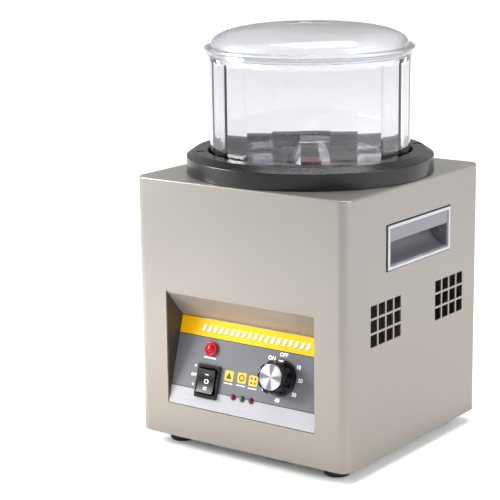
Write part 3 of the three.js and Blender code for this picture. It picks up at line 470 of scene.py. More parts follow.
def rectangle(width, height, radius, x=0, y=0):
    """Rounded rectangle as an outline, anticlockwise."""
    signs = ((-1, -1), (1, -1), (1, 1), (-1, 1))
    return rounded([(x + sx * width / 2, y + sy * height / 2, radius) for sx, sy in signs])


def circle(radius, z, count=TURN_SEGMENTS):
    return polar(lambda angle: radius, z, count) if radius > POLE else [Vector((0, 0, z))]


def polar(radius_at, z, count):
    """Ring whose radius follows its angle."""
    angles = [TAU * i / count for i in range(count)]
    return [Vector((radius_at(angle) * cos(angle), radius_at(angle) * sin(angle), z)) for angle in angles]


def skin(rings, closed=False, caps=False):
    """Closed skin over successive rings; a ring of one point is a pole."""
    shape = bmesh.new()
    loops = [[shape.verts.new(point) for point in ring] for ring in rings]
    pairs = list(zip(loops, loops[1:]))
    if closed:
        pairs.append((loops[-1], loops[0]))
    for low, high in pairs:
        for i in range(max(len(low), len(high))):
            corners = [low[i % len(low)], low[(i + 1) % len(low)], high[(i + 1) % len(high)], high[i % len(high)]]
            shape.faces.new(list(dict.fromkeys(corners)))
    if caps:
        shape.faces.new(loops[0])
        shape.faces.new(loops[-1])
    bmesh.ops.recalc_face_normals(shape, faces=shape.faces)
    return shape


def turned(profile, closed=False, count=TURN_SEGMENTS):
    """Turned shape about Z from (radius, z) points."""
    return skin([circle(radius, z, count) for radius, z in profile], closed=closed)


def lathed(corners, count=TURN_SEGMENTS):
    """Turned shape from the (radius, z, rounding) corners of a profile that starts and ends on the axis."""
    return turned(rounded(corners, closed=False), count=count)


def plug(radius, z0, z1, count=TURN_SEGMENTS):
    """Plain cylinder about Z."""
    return turned([(0, z0), (radius, z0), (radius, z1), (0, z1)], count=count)


def hoop(inner, outer, z0, z1):
    """Flat ring about Z."""
    return turned([(inner, z0), (outer, z0), (outer, z1), (inner, z1)], closed=True, count=40)


def block(outline, z0, z1):
    """Upright prism over an outline."""
    return skin([[Vector((*point, z)) for point in outline] for z in (z0, z1)], caps=True)


def brick(low, high):
    """Box between two corners."""
    low, high = Vector(low), Vector(high)
    centre, size = (low + high) / 2, high - low
    return block(rectangle(size.x, size.y, 0, centre.x, centre.y), low.z, high.z)


def mesh_of(name, shape):
    """Moves a shape into a new mesh."""
    mesh = bpy.data.meshes.new(name)
    shape.to_mesh(mesh)
    shape.free()
    return mesh


def put(name, shape, matrix=UPRIGHT):
    """Makes an object of a shape, with its place in its mesh."""
    mesh = mesh_of(name, shape)
    mesh.transform(Matrix.Scale(MM, 4) @ matrix)
    return add(name, mesh)


def joined(*shapes):
    """Several skins in one shape."""
    whole = bmesh.new()
    for shape in shapes:
        mesh = mesh_of("part", shape)
        whole.from_mesh(mesh)
        bpy.data.meshes.remove(mesh)
    return whole


def moved(shape, matrix):
    shape.transform(matrix)
    return shape


# ---- modifiers
def plain_mesh(obj):
    """A copy of an object's mesh with its modifiers applied."""
    graph = bpy.context.evaluated_depsgraph_get()
    return bpy.data.meshes.new_from_object(obj.evaluated_get(graph), depsgraph=graph)


def settle(obj):
    """Applies an object's modifiers to its mesh."""
    mesh = plain_mesh(obj)
    obj.modifiers.clear()
    obj.data = mesh
    return obj


def carve(obj, *tools):
    """Cuts tools out of an object."""
    for tool in tools:
        fitted(obj.modifiers.new("cut", "BOOLEAN"), operation="DIFFERENCE", solver="EXACT", object=tool)
    settle(obj)
    for tool in tools:
        bpy.data.objects.remove(tool)
    return obj


def soften(obj, width, segments=2, angle=35):
    """Rounds an object's sharp edges by width millimetres."""
    fitted(obj.modifiers.new("edge", "BEVEL"), width=width * MM, segments=segments, limit_method="ANGLE",
           angle_limit=radians(angle), miter_outer="MITER_ARC")
    return settle(obj)


def refined(node, width, segments=2):
    """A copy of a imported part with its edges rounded."""
    weld, flat_angle = 2e-6, radians(0.4)
    shape = bmesh.new()
    shape.from_mesh(frame["nodes"][node].data)
    bmesh.ops.remove_doubles(shape, verts=shape.verts, dist=weld)
    bmesh.ops.dissolve_limit(shape, angle_limit=flat_angle, verts=shape.verts, edges=shape.edges)
    return soften(put(f"{node}_skin", moved(shape, Matrix.Scale(1 / MM, 4))), width, segments)


def piece(obj, slot, *nodes, body="cabinet", finish=None, sharp=32):
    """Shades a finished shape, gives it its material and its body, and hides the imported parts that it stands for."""
    obj.data.materials.clear()
    obj.data.materials.append(finish or FINISHES[slot])
    obj.data.polygons.foreach_set("material_index", [0] * len(obj.data.polygons))
    obj.data.shade_smooth()
    obj.data.set_sharp_from_angle(angle=radians(sharp))
    fitted(obj.modifiers.new("weigh", "WEIGHTED_NORMAL"), keep_sharp=True, weight=100)
    settle(obj)
    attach(obj, body)
    if nodes:
        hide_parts(*nodes)
    return obj


# ---- repeating things
def new_tree(name, sizes):
    """A geometry tree with named inputs; returns its graph, the inputs' values and their identifiers."""
    tree = bpy.data.node_groups.new(name, "GeometryNodeTree")
    names = {}
    for label, kind in {"Geometry": "Geometry", **sizes, "Piece": "Object", "Finish": "Material"}.items():
        names[label] = tree.interface.new_socket(label, in_out="INPUT", socket_type=f"NodeSocket{kind}").identifier
    tree.interface.new_socket("Geometry", in_out="OUTPUT", socket_type="NodeSocketGeometry")
    entry, graph = tree.nodes.new("NodeGroupInput"), Graph(tree)
    return graph, {label: Value(graph, entry.outputs[label]) for label in names}, names


def close_tree(graph, given, points, **turn):
    """Ends a tree: the piece at each point, as real geometry with its finish on it."""
    copy = graph.node("GeometryNodeObjectInfo", sockets={"Object": given["Piece"]}, output="Geometry")
    instances = graph.node("GeometryNodeInstanceOnPoints", sockets={"Points": points, "Instance": copy, **turn})
    real = graph.node("GeometryNodeRealizeInstances", sockets={"Geometry": instances})
    done = graph.node("GeometryNodeSetMaterial", sockets={"Geometry": real, "Material": given["Finish"]})
    graph.node("NodeGroupOutput", sockets={"Geometry": done})
    return graph.tree


def grid_tree():
    """Copies of a piece in rows and columns, centred."""
    graph, given, names = new_tree("rows_and_columns", {
        "Columns": "Int", "Rows": "Int", "Column Pitch": "Float", "Row Pitch": "Float"})
    grid = graph.node("GeometryNodeMeshGrid", sockets={
        "Size X": (given["Columns"] - 1) * given["Column Pitch"],
        "Size Y": (given["Rows"] - 1) * given["Row Pitch"],
        "Vertices X": given["Columns"], "Vertices Y": given["Rows"]}, output="Mesh")
    return close_tree(graph, given, grid), names


def scatter_tree():
    """A copy of a piece at each point, turned about Z by a random angle up to the swing."""
    graph, given, names = new_tree("piece_at_each_point", {"Swing": "Float", "Seed": "Int"})
    angle = graph.node("FunctionNodeRandomValue", {"data_type": "FLOAT"},
                       {"Max": given["Swing"], "Seed": given["Seed"]}, "Value_001")
    turn = graph.node("ShaderNodeCombineXYZ", sockets={"Z": angle})
    return close_tree(graph, given, given["Geometry"], Rotation=turn), names


GRID = grid_tree()
SCATTER = scatter_tree()


def repeated(name, tree_and_names, template, matrix, points=(), **inputs):
    """Runs a tree over points in millimetres and makes its result one plain mesh, placed by matrix."""
    tree, names = tree_and_names
    mesh = bpy.data.meshes.new(name)
    mesh.from_pydata([Vector(point) for point in points] or [(0, 0, 0)], [], [])
    obj = add(name, mesh)
    modifier = fitted(obj.modifiers.new("repeat", "NODES"), node_group=tree)
    modifier[names["Piece"]] = template
    for label, value in inputs.items():
        modifier[names[label.replace("_", " ")]] = value
    settle(obj)
    bpy.data.objects.remove(template)
    obj.data.transform(Matrix.Scale(MM, 4) @ matrix)
    return obj


def gridded(name, shape, matrix, counts, pitches, finish):
    """Copies of a shape in (columns, rows) at pitches across and up."""
    return repeated(name, GRID, add("template", mesh_of("template", shape)), matrix, Columns=counts[0],
                    Rows=counts[1], Column_Pitch=pitches[0], Row_Pitch=pitches[1], Finish=finish)


def pan_screw(radius):
    """Pan-head screw with a cross recess, standing on z = 0."""
    height = 0.62 * radius
    dome = [(radius * cos(a), 0.25 * height + 0.75 * height * sin(a)) for a in QUARTER_TURN[:-1]]
    head = put("head", turned([(0, 0), (radius, 0), *dome, (0, height)], count=24), Matrix.Scale(1 / MM, 4))
    arm, reach, floor = 0.16 * radius, 0.55 * radius, 0.35 * height
    cross = [brick((-x, -y, floor), (x, y, 2 * height)) for x, y in ((arm, reach), (reach, arm))]
    return carve(head, *(put("slot", bar, Matrix.Scale(1 / MM, 4)) for bar in cross))


def screws(name, points, matrix, radius, seed):
    """A set of screws standing on a plane, their recesses at odd angles."""
    obj = repeated(name, SCATTER, pan_screw(radius), matrix, points, Swing=TAU / 4, Seed=seed,
                   Finish=FINISHES["zinc_steel"])
    return piece(obj, "zinc_steel")


# ---- cabinet
SHEET = 1.5
CORNER_RADIUS = 10
TOP_BEND = 1.6
CABINET_LOW, CABINET_HIGH = span("cabinet_shell")
WIDTH, DEPTH = 2 * CABINET_HIGH.x, 2 * CABINET_HIGH.y
TOP_Z = CABINET_HIGH.z
VENT_HOLE, VENT_PITCH = 10.9, 13.1
VENT_COLUMNS, VENT_ROWS = 4, 3
VENT_CENTRES_Y = (-51.7, 58.8)
VENT_CENTRE_Z = CABINET_LOW.z + 142.4 - VENT_HOLE / 2 - VENT_PITCH
PANEL_HALF_WIDTH = 81.5
RECESS_BOTTOM_Z = CABINET_LOW.z + 31.5
RECESS_TOP_Z = CABINET_LOW.z + 138
WELL_RADIUS = 88
REAR_HALF_WIDTH, REAR_BOTTOM_Z, REAR_TOP_Z = 94, CABINET_LOW.z + 14, TOP_Z - 16
HANDLE_GAPS = {"front": 3.5, "rear": 0.4, "below": 0.4, "above": 1.5}


def upright_ring(inset, z):
    outline = rectangle(WIDTH - 2 * inset, DEPTH - 2 * inset, CORNER_RADIUS - inset)
    return [Vector((*point, z)) for point in outline]


def cabinet_skin():
    """Folded sheet with rounded uprights, bent over at the top, and all its openings."""
    top = [upright_ring(TOP_BEND * (1 - cos(a)), TOP_Z - TOP_BEND * (1 - sin(a))) for a in QUARTER_TURN]
    shell = put("cabinet_skin", skin([upright_ring(0, CABINET_LOW.z), *top], caps=True))
    below, far = 5, 6
    front, rear = -DEPTH / 2, DEPTH / 2
    inside = skin([upright_ring(SHEET, CABINET_LOW.z - below), upright_ring(SHEET, TOP_Z - SHEET)], caps=True)
    tools = [
        put("inside", inside),
        put("well", plug(WELL_RADIUS, TOP_Z - far, TOP_Z + far)),
        put("mouth", brick((-PANEL_HALF_WIDTH, front - far, RECESS_BOTTOM_Z),
                           (PANEL_HALF_WIDTH, front + far, RECESS_TOP_Z))),
        put("rear", brick((-REAR_HALF_WIDTH, rear - far, REAR_BOTTOM_Z), (REAR_HALF_WIDTH, rear + far, REAR_TOP_Z)))]
    for hand, side in (("left", -1), ("right", 1)):
        low, high = span(f"handle_bezel_{hand}")
        wall = side * WIDTH / 2
        tools.append(put("handle", brick(
            (wall - far, low.y - HANDLE_GAPS["front"], low.z - HANDLE_GAPS["below"]),
            (wall + far, high.y + HANDLE_GAPS["rear"], high.z + HANDLE_GAPS["above"]))))
        for centre_y in VENT_CENTRES_Y:
            hole = block(rectangle(VENT_HOLE, VENT_HOLE, 0), -far, far)
            facing = at(wall, centre_y, VENT_CENTRE_Z) @ Matrix.Rotation(pi / 2, 4, "Y")
            tools.append(gridded("vents", hole, facing, (VENT_ROWS, VENT_COLUMNS), (VENT_PITCH, VENT_PITCH),
                                 FINISHES["body_paint"]))
    carve(shell, *tools)
    soften(shell, 0.35)
    return piece(shell, "body_paint", "cabinet_shell")


PLATE_EDGE = 0.3
REAR_SLOTS = {"length": 52, "height": 4, "columns": 2, "rows": 9, "pitch": 9, "apart": 72, "middle_z": 154}
BASE_SLOTS = {"length": 90, "width": 5, "rows": 7, "pitch": 14, "middle_y": 2.5}
SOCKET_HOLE = {"width": 28, "height": 20.4}


def cabinet_back():
    """Screwed-on rear panel, cut for the cooling slots and the inlet."""
    low, high = span("rear_panel")
    size, through = high - low, 6
    panel = put("rear_panel_skin", block(rectangle(size.x, size.z, 0), 0, size.y),
                at(0, high.y, (low.z + high.z) / 2) @ LIE_BACK)
    slot = block(rectangle(REAR_SLOTS["length"], REAR_SLOTS["height"], 0), -through, through)
    slots = gridded("rear_slots", slot, at(0, high.y, REAR_SLOTS["middle_z"]) @ LIE_BACK,
                    (REAR_SLOTS["columns"], REAR_SLOTS["rows"]), (REAR_SLOTS["apart"], REAR_SLOTS["pitch"]),
                    FINISHES["body_paint"])
    socket = middle("inlet_socket")
    hole = put("socket_hole", block(rectangle(SOCKET_HOLE["width"], SOCKET_HOLE["height"], 0), -through, through),
               at(socket.x, high.y, socket.z) @ LIE_BACK)
    carve(panel, slots, hole)
    piece(soften(panel, PLATE_EDGE), "body_paint", "rear_panel")
    lap, inner_x = 4.5, 33
    zs = [low.z + lap + (high.z - low.z - 2 * lap) * k / 4 for k in range(5)]
    points = [(x, z, 0) for x in (low.x + lap, high.x - lap) for z in zs]
    points += [(x, z, 0) for x in (-inner_x, inner_x) for z in (zs[0], zs[-1])]
    screws("rear_panel_screws", points, at(0, high.y) @ FACE_REAR, radius=3, seed=3)


def cabinet_base():
    """Screwed-on base plate with its cooling slots."""
    low, high = span("base_plate")
    size, corner, through, inset = high - low, 8.2, 6, 7
    plate = put("base_plate_skin", block(rectangle(size.x, size.y, corner), low.z, high.z))
    slot = block(rectangle(BASE_SLOTS["length"], BASE_SLOTS["width"], 0), -through, through)
    slots = gridded("base_slots", slot, at(0, BASE_SLOTS["middle_y"], low.z), (1, BASE_SLOTS["rows"]),
                    (0.0, BASE_SLOTS["pitch"]), FINISHES["zinc_steel"])
    carve(plate, slots)
    piece(soften(plate, PLATE_EDGE), "zinc_steel", "base_plate")
    points = [(sx * (high.x - inset), sy * (high.y - inset), 0) for sx in (-1, 1) for sy in (-1, 0, 1)]
    screws("base_screws", points, at(0, 0, low.z) @ FACE_DOWN, radius=3, seed=5)


def foot(node):
    """Turned rubber foot, ribbed round its side, with a screw up its middle."""
    low, high = span(node)
    centre = middle(node)
    radius, top = (high.x - low.x) / 2, high.z
    recess_radius, recess = 4, 5
    first_rib, rib_pitch, ribs = 3.2, 2, []
    for k in range(4):
        z = first_rib + rib_pitch * k
        ribs += [(radius - 0.1, z, 0.2), (radius - 0.5, z + 0.5, 0.2), (radius - 0.1, z + 1, 0.2)]
    shape = lathed([
        (0, recess), (recess_radius, recess, 0.4), (recess_radius, 0, 0.6), (radius - 0.6, 0, 1.4), *ribs,
        (radius, top, 0.4), (0, top)], count=64)
    piece(put(f"{node}_rubber", shape, at(centre.x, centre.y)), "rubber", node)
    screws(f"{node}_screw", [(0, 0, 0)], at(centre.x, centre.y, recess) @ FACE_DOWN, radius=3.2, seed=11)


# ---- ring, well, bowl and lid
RING_BORE = 94
RING_WALL = 3
RING_FLAT = 106.5
RING_SHOULDER = 5


def seat_ring():
    """Moulded ring, hollow underneath, with a chamfered shoulder and counterbored screw holes."""
    low, high = span("seat_ring")
    outer, ceiling, lead_in = high.x, high.z - 6, 1.2
    profile = rounded([
        (RING_BORE, low.z, 0.3), (RING_BORE + RING_WALL, low.z, 0.3), (RING_BORE + RING_WALL, ceiling, 1),
        (outer - RING_WALL, ceiling - 1, 1), (outer - RING_WALL, low.z, 0.3), (outer, low.z, 0.4),
        (outer, high.z - RING_SHOULDER, 1.1), (RING_FLAT, high.z, 1.0), (RING_BORE + lead_in, high.z, 0.6),
        (RING_BORE, high.z - lead_in, 0.6)])
    ring = put("seat_ring_moulding", turned(profile, closed=True))
    bore, depth, clear = 4.2, 3, 2
    tools = []
    for node in ("ring_screw_1", "ring_screw_2"):
        centre = middle(node)
        tools.append(put("counterbore", plug(bore, high.z - depth, high.z + clear, 40), at(centre.x, centre.y)))
        piece(refined(node, 0.25), "zinc_steel", node)
    carve(ring, *tools)
    return piece(ring, "ring_plastic", "seat_ring")


def well_plate():
    """Pressed plate under the bowl, dished inside a shallow bead."""
    low, high = span("well_plate")
    bead_radius, bead_width, dish = 70, 4, 0.8
    shape = lathed([
        (0, low.z), (high.x, low.z, 0.4), (high.x, high.z, 0.6), (bead_radius + bead_width, high.z, 2),
        (bead_radius, high.z - dish, 2), (0, high.z - dish)])
    return piece(put("well_plate_pressing", shape), "stainless", "well_plate")


def centre_boss():
    """Locating boss under the hub, with a shallow dimple on top."""
    low, high = span("centre_boss")
    radius, dimple, floor = high.x, 5, high.z - 0.8
    shape = lathed([
        (0, low.z), (radius, low.z, 0.3), (radius, high.z, 1.5), (dimple + 1, high.z, 0.6), (dimple, floor, 0.6),
        (0, floor)], count=64)
    return piece(put("centre_boss_moulding", shape), "boss_red", "centre_boss")


FACETS = 22
FACET_STEPS = 10
FACET_PHASE = radians(4.5)
FACET_INRADIUS = 87.4
COLLAR_BORE, COLLAR_DEPTH = 89.2, 3.5
SHOULDER_SLOPE = 4
BOWL_RADIUS, BOWL_FOOT_RADIUS = 92.5, 92
BOWL_FLOOR = 3
BEAD_HEIGHT = 3.5
SHOULDER_STEPS = 8
HUB = {"foot": 23, "top": 14.5, "height": 24, "wall": 2.4}


def facet_radius(angle):
    """Distance from the axis to the flat facet that faces this angle."""
    pitch = TAU / FACETS
    across = (angle % pitch) - pitch / 2
    return FACET_INRADIUS / cos(across)


def bowl_shape():
    """Round outside, flat facets inside under a round collar, and a hollow hub."""
    low, high = span("bowl")
    bottom, top, bead = low.z, high.z, high.x
    count = FACETS * FACET_STEPS
    floor = bottom + BOWL_FLOOR
    hub_top = floor + HUB["height"]
    wall = HUB["wall"]
    outside = rounded([
        (0, hub_top - wall), (HUB["top"] - wall, hub_top - wall, 1.5), (HUB["foot"] - wall, bottom, 1.5),
        (BOWL_FOOT_RADIUS, bottom, 5), (BOWL_RADIUS, top - BEAD_HEIGHT - 1, 1),
        (bead, top - BEAD_HEIGHT, 0.4), (bead, top, 0.5),
        (COLLAR_BORE, top, 0.5), (COLLAR_BORE, top - COLLAR_DEPTH + 0.5)], closed=False)
    rings = [circle(radius, z, count) for radius, z in outside]
    collar_z = top - COLLAR_DEPTH
    shoulder = COLLAR_BORE - FACET_INRADIUS
    for k in range(SHOULDER_STEPS + 1):
        step_in = shoulder * k / SHOULDER_STEPS
        z = collar_z - SHOULDER_SLOPE * step_in
        rings.append(polar(lambda angle: max(facet_radius(angle), COLLAR_BORE - step_in), z, count))
    fillet, fillet_steps = 3, 5
    rings.append(polar(facet_radius, floor + fillet, count))
    for k in range(1, fillet_steps + 1):
        turn = pi / 2 * k / fillet_steps
        inset, z = fillet * (1 - cos(turn)), floor + fillet * (1 - sin(turn))
        rings.append(polar(lambda angle: facet_radius(angle) - inset, z, count))
    inner = rounded([
        (FACET_INRADIUS - fillet - 4, floor), (HUB["foot"], floor, 3), (HUB["top"], hub_top, 1.5), (0, hub_top)],
        closed=False)
    rings += [circle(radius, z, count) for radius, z in inner]
    return moved(skin(rings), Matrix.Rotation(FACET_PHASE, 4, "Z"))


def bowl():
    return piece(put("bowl_clear", bowl_shape()), "clear_plastic", "bowl", body="bowl", sharp=14)


FLANGE_THICKNESS = 3.4
LID_WALL = 2.5
DOME_RADIUS, DOME_POWER = 89.9, 2.57
DOME_STEPS = 22
DIMPLE_RADIUS, DIMPLE_DEPTH = 19, 1.2
SKIRT = {"outer": 88.8, "inner": 86.4}


def dome(foot, rise, base, until):
    """Points up a flattened dome, from its foot in to the radius where it stops."""
    points = []
    for k in range(DOME_STEPS + 1):
        height = rise * sin(pi / 2 * k / DOME_STEPS)
        radius = foot * (1 - (height / rise) ** DOME_POWER) ** (1 / DOME_POWER)
        if radius > until:
            points.append((radius, base + height))
    return points


def lid():
    """Domed lid: a flange that rests on the bowl, a skirt inside it and a dimple on top."""
    low, high = span("lid")
    clearance, sink = 0.3, 0.05
    flange_low = span("bowl")[1].z + clearance
    flange_high = flange_low + FLANGE_THICKNESS
    rise, rim, under = high.z - flange_high, high.x, high.z - LID_WALL
    lip, dome_end = DIMPLE_RADIUS + 2, DIMPLE_RADIUS + 4
    outer = dome(DOME_RADIUS, rise, flange_high, dome_end)
    inner = dome(SKIRT["inner"], rise - LID_WALL, flange_high, dome_end)
    shape = lathed([
        (0, high.z - DIMPLE_DEPTH), (DIMPLE_RADIUS, high.z - DIMPLE_DEPTH, 1.5), (lip, high.z - sink, 0.8),
        *reversed(outer[1:]), (DOME_RADIUS, flange_high, 0.8), (rim, flange_high, 1.2), (rim, flange_low, 1.2),
        (SKIRT["outer"], flange_low, 0.5), (SKIRT["outer"], low.z, 0.6), (SKIRT["inner"], low.z, 0.6), *inner[1:],
        (lip, under - sink, 0.8), (DIMPLE_RADIUS, under - DIMPLE_DEPTH, 0.8), (0, under - DIMPLE_DEPTH)], count=200)
    return piece(put("lid_clear", shape), "clear_plastic", "lid", body="lid", finish=frosted_moulding(), sharp=25)


# ---- controls
LAMP_X, LAMP_Y = -41.5, 55.7
LED_Y, LED_PITCH = 16.7, 10
ROCKER_X, ROCKER_Y, ROCKER_PIVOT = -40, 26, 0.8


def lamp_lens():
    """Red cap of the power lamp: a rounded rim round a raised dome."""
    radius, foot, rim = 6.9, 0.3, 2.6
    shape = lathed([
        (0, foot), (radius, foot), (radius, rim, 1.0), (4.4, rim, 0.5), (4.1, 1.9, 0.3), (3.6, rim, 0.5),
        (2.6, 4.1, 1.4), (0, 4.4)], count=64)
    return piece(put("power_lamp_cap", shape, panel_matrix(LAMP_X, LAMP_Y)), "lamp_red", "power_lamp_lens")


def led(node, x, slot, finish=None):
    """Small domed lamp on its two legs."""
    radius, flange, flange_top, dome_foot, dome_rise = 2.5, 2.9, -4, 0.3, 2.1
    dome_points = [(radius * cos(a), dome_foot + dome_rise * sin(a)) for a in QUARTER_TURN[:-1]]
    lens = turned([(0, flange_top - 1), (flange, flange_top - 1), (flange, flange_top), (radius, flange_top),
                   *dome_points, (0, dome_foot + dome_rise)], count=40)
    half_leg = 0.3
    legs = [brick((leg_x - half_leg, -half_leg, -11.6), (leg_x + half_leg, half_leg, -4.5)) for leg_x in (-1.2, 1.2)]
    obj = put(f"{node}_lens", joined(lens, *legs), panel_matrix(x, LED_Y))
    return piece(obj, slot, node, finish=finish)


def knob():
    """Skirted knob: ten shallow finger flutes in its grip and a seat for the cap on top."""
    skirt, skirt_foot, skirt_top = 16.5, 0.7, 4.2
    grip, top, seat, seat_z = 15, 16.2, 12.1, 15.3
    flute_count, flute_radius, flute_centre = 10, 3.6, 17
    count = 240

    def grip_radius(angle, shrink=0.0):
        pitch = TAU / flute_count
        off = ((angle + pitch / 2) % pitch) - pitch / 2
        off = abs(off) - pitch / 2
        side = flute_centre * sin(off)
        if abs(side) >= flute_radius:
            return grip - shrink
        hollow = flute_centre * cos(off) - sqrt(flute_radius ** 2 - side ** 2)
        return min(grip, hollow) - shrink

    skirt_profile = rounded([(0, skirt_foot), (skirt, skirt_foot, 0.3), (skirt, 2.8, 0.4),
                             (skirt - 0.8, skirt_top, 0.3), (15.4, skirt_top)], closed=False)
    rings = [circle(radius, z, count) for radius, z in skirt_profile]
    for shrink, z in ((-0.35, skirt_top), (-0.1, skirt_top + 0.15), (0, skirt_top + 0.5), (0, top - 0.8),
                      (0.1, top - 0.4), (0.35, top - 0.1), (0.7, top)):
        rings.append(polar(lambda angle: grip_radius(angle, shrink), z, count))
    rings += [circle(radius, z, count) for radius, z in (
        (seat + 0.1, top), (seat, top - 0.1), (seat, seat_z), (0, seat_z))]
    obj = put("dial_knob_moulding", skin(rings), panel_matrix(*DIAL_AT))
    piece(obj, "control_plastic", "dial_knob", body="timer_dial")
    # A white dash lies flat along the skirt's top edge: a pointer mark that is also a painted highlight on that edge.
    pointer_highlight_dash, pointer_highlight_radius = block(rectangle(5.5, 1.3, 0.3), 0, 0.25), 15.2
    mark = put("dial_pointer", pointer_highlight_dash, panel_matrix(*DIAL_AT, skirt_top) @ at(0, pointer_highlight_radius))
    return piece(mark, "control_plastic", body="timer_dial", finish=INKS["white"])


def dial_cap():
    """Bright cap with a fine groove near its edge."""
    radius, foot, top = 11.8, 15.6, 17.2
    shape = lathed([
        (0, foot), (radius, foot), (radius, top, 0.5), (10.9, top, 0.1), (10.6, top - 0.2, 0.1), (10.3, top, 0.1),
        (0, top)], count=96)
    return piece(put("dial_cap_spun", shape, panel_matrix(*DIAL_AT)), "dial_metal", "dial_cap", body="timer_dial",
                 finish=dial_spun())


def rocker():
    """Rocker with round ends about its pivot, a dished face and its printed marks."""
    radius, half_width = 11.6, 9.1
    low_angle, high_angle = radians(-32), radians(22)
    sweep = [low_angle + (high_angle - low_angle) * k / 10 for k in range(11)]
    right = [(radius * cos(a), radius * sin(a)) for a in sweep]
    left = [(-x, y) for x, y in reversed(right)]
    reach, middle_height, end_rise = 0.9 * radius, 2.5, 1.7

    def dish(across):
        return middle_height + end_rise * across * across

    face = [(reach * (1 - k / 8), dish(1 - k / 8)) for k in range(17)]
    outline = [Vector(point) for point in (*right, *face, *left)]
    # Drawn with its outline in the slope's up and out directions, and its length across the panel.
    across = Matrix(((0, 0, 1, 0), (1, 0, 0, 0), (0, 1, 0, 0), (0, 0, 0, 1)))
    pivot = panel_matrix(ROCKER_X, ROCKER_Y, ROCKER_PIVOT)
    obj = put("rocker_face", block(outline, -half_width, half_width), pivot @ across)
    soften(obj, 0.5, 3, 50)
    piece(obj, "control_plastic", "rocker_paddle", body="rocker")
    thickness = 0.06
    marks = [moved(hoop(1.5, 2.5, -thickness, thickness), at(0, 0, dish(0)))]
    for y in (6.2, -5.6, -7.4):
        tilt = atan(2 * end_rise * y / reach ** 2)
        lie = at(0, y, dish(y / reach)) @ Matrix.Rotation(tilt, 4, "X")
        marks.append(moved(block(rectangle(3.6, 0.9, 0.2), -thickness, thickness), lie))
    return piece(put("rocker_marks", joined(*marks), pivot), "control_plastic", body="rocker", finish=INKS["white"])


# ---- print on the panel
INK_LOW, INK_HIGH = -0.02, 0.05


def decal(name, shapes, ink_name):
    """Shapes in one ink, drawn in the panel's own frame."""
    return piece(put(name, joined(*shapes), panel_matrix()), "panel_print", finish=INKS[ink_name])


def words(name, labels, size):
    """Raised lettering from (text, x, y) places on the panel."""
    weight, weld, shapes = 0.03, 1e-4, []
    for text, x, y in labels:
        label = add("label", fitted(
            bpy.data.curves.new("label", "FONT"), body=text, size=size, align_x="CENTER", align_y="CENTER",
            extrude=(INK_HIGH - INK_LOW) / 2, offset=weight * size))
        shape = bmesh.new()
        shape.from_mesh(plain_mesh(label))
        bmesh.ops.remove_doubles(shape, verts=shape.verts, dist=weld)
        shapes.append(moved(shape, at(x, y, (INK_LOW + INK_HIGH) / 2)))
        bpy.data.objects.remove(label)
    return decal(name, shapes, "white")


def flat(outline, lift=0.0):
    """A film of ink, lifted where it lies on another."""
    return block(outline, INK_LOW, INK_HIGH + lift)


def panel_print():
    marks = [("ON", -39), ("OFF", -2), ("10", 54), ("20", 88), ("30", 128), ("40", 182), ("50", 232), ("60", 275)]
    scale_radius, places = 20.4, []
    for text, angle in marks:
        turn = radians(angle)
        places.append((text, DIAL_AT.x + scale_radius * sin(turn), DIAL_AT.y + scale_radius * cos(turn)))
    words("dial_figures", places, 5.0)
    words("switch_label", [("OFF", -57.6, 29.8)], 3.4)
    squares = [(-18.1, 34.9), (-3.8, 35.2), (9.0, 34.6)]
    side, caption_drop, arrow_x = 9.4, 7, -57
    decal("pictogram_grounds", [flat(rectangle(side, side, 1.4, x, y)) for x, y in squares], "yellow")
    (x0, y0), (x1, y1), (x2, y2) = squares
    lift = 0.04
    wedge = [Vector((x0 + dx, y0 + dy)) for dx, dy in ((-3.2, -2.8), (3.2, -2.8), (0, 3.2))]
    loop = moved(hoop(1.9, 3.1, INK_LOW, INK_HIGH + lift), at(x1, y1))
    pip = [point.to_2d() for point in circle(1.1, 0, 16)]
    pips = [flat([Vector((x2 + 2 * sx, y2 + 2 * sy)) + point for point in pip], lift)
            for sx in (-1, 1) for sy in (-1, 1)]
    decal("pictograms", [flat(wedge, lift), loop, *pips], "dark")
    bars = [flat(rectangle(9.5, 0.8, 0.2, x, y - caption_drop)) for x, y in squares]
    bars.append(flat(rectangle(13.2, 1.3, 0.3, LAMP_X - 0.8, 47.6)))
    arrow = ((-1.3, -1), (1.3, -1), (0, 1.3))
    for y, sign in ((38.6, 1), (20.9, -1)):
        points = [Vector((arrow_x + dx, y + sign * dy)) for dx, dy in arrow]
        bars.append(flat(points if sign > 0 else points[::-1]))
    decal("caption_bars", bars, "white")
    strokes("headline_shadow", "dark", 0.5, -0.5, 0.0)
    strokes("headline_strokes", "white", 0.0, 0.0, 0.04)
    dashes = gridded("foot_line", flat(rectangle(2.4, 1.0, 0.3)), panel_matrix(-27, 8.4), (20, 2), (3.8, 5.4),
                     INKS["grey"])
    piece(dashes, "panel_print", finish=INKS["grey"])


def strokes(name, ink_name, dx, dy, lift):
    """A row of short slanting strokes along the yellow band, like loose pins."""
    lean, length, thickness = 2.2, 6.0, 1.5
    outline = [Vector((x + lean * y / length, y)) for x, y in (
        (-thickness, -length / 2), (thickness, -length / 2), (thickness, length / 2), (-thickness, length / 2))]
    count, pitch = 19, 6.4
    band_middle = (YELLOW_BAND_BOTTOM + PANEL_LENGTH) / 2
    obj = gridded(name, flat(outline, lift), panel_matrix(4 + dx, band_middle + dy), (count, 1), (pitch, 0.0),
                  INKS[ink_name])
    return piece(obj, "panel_print", finish=INKS[ink_name])


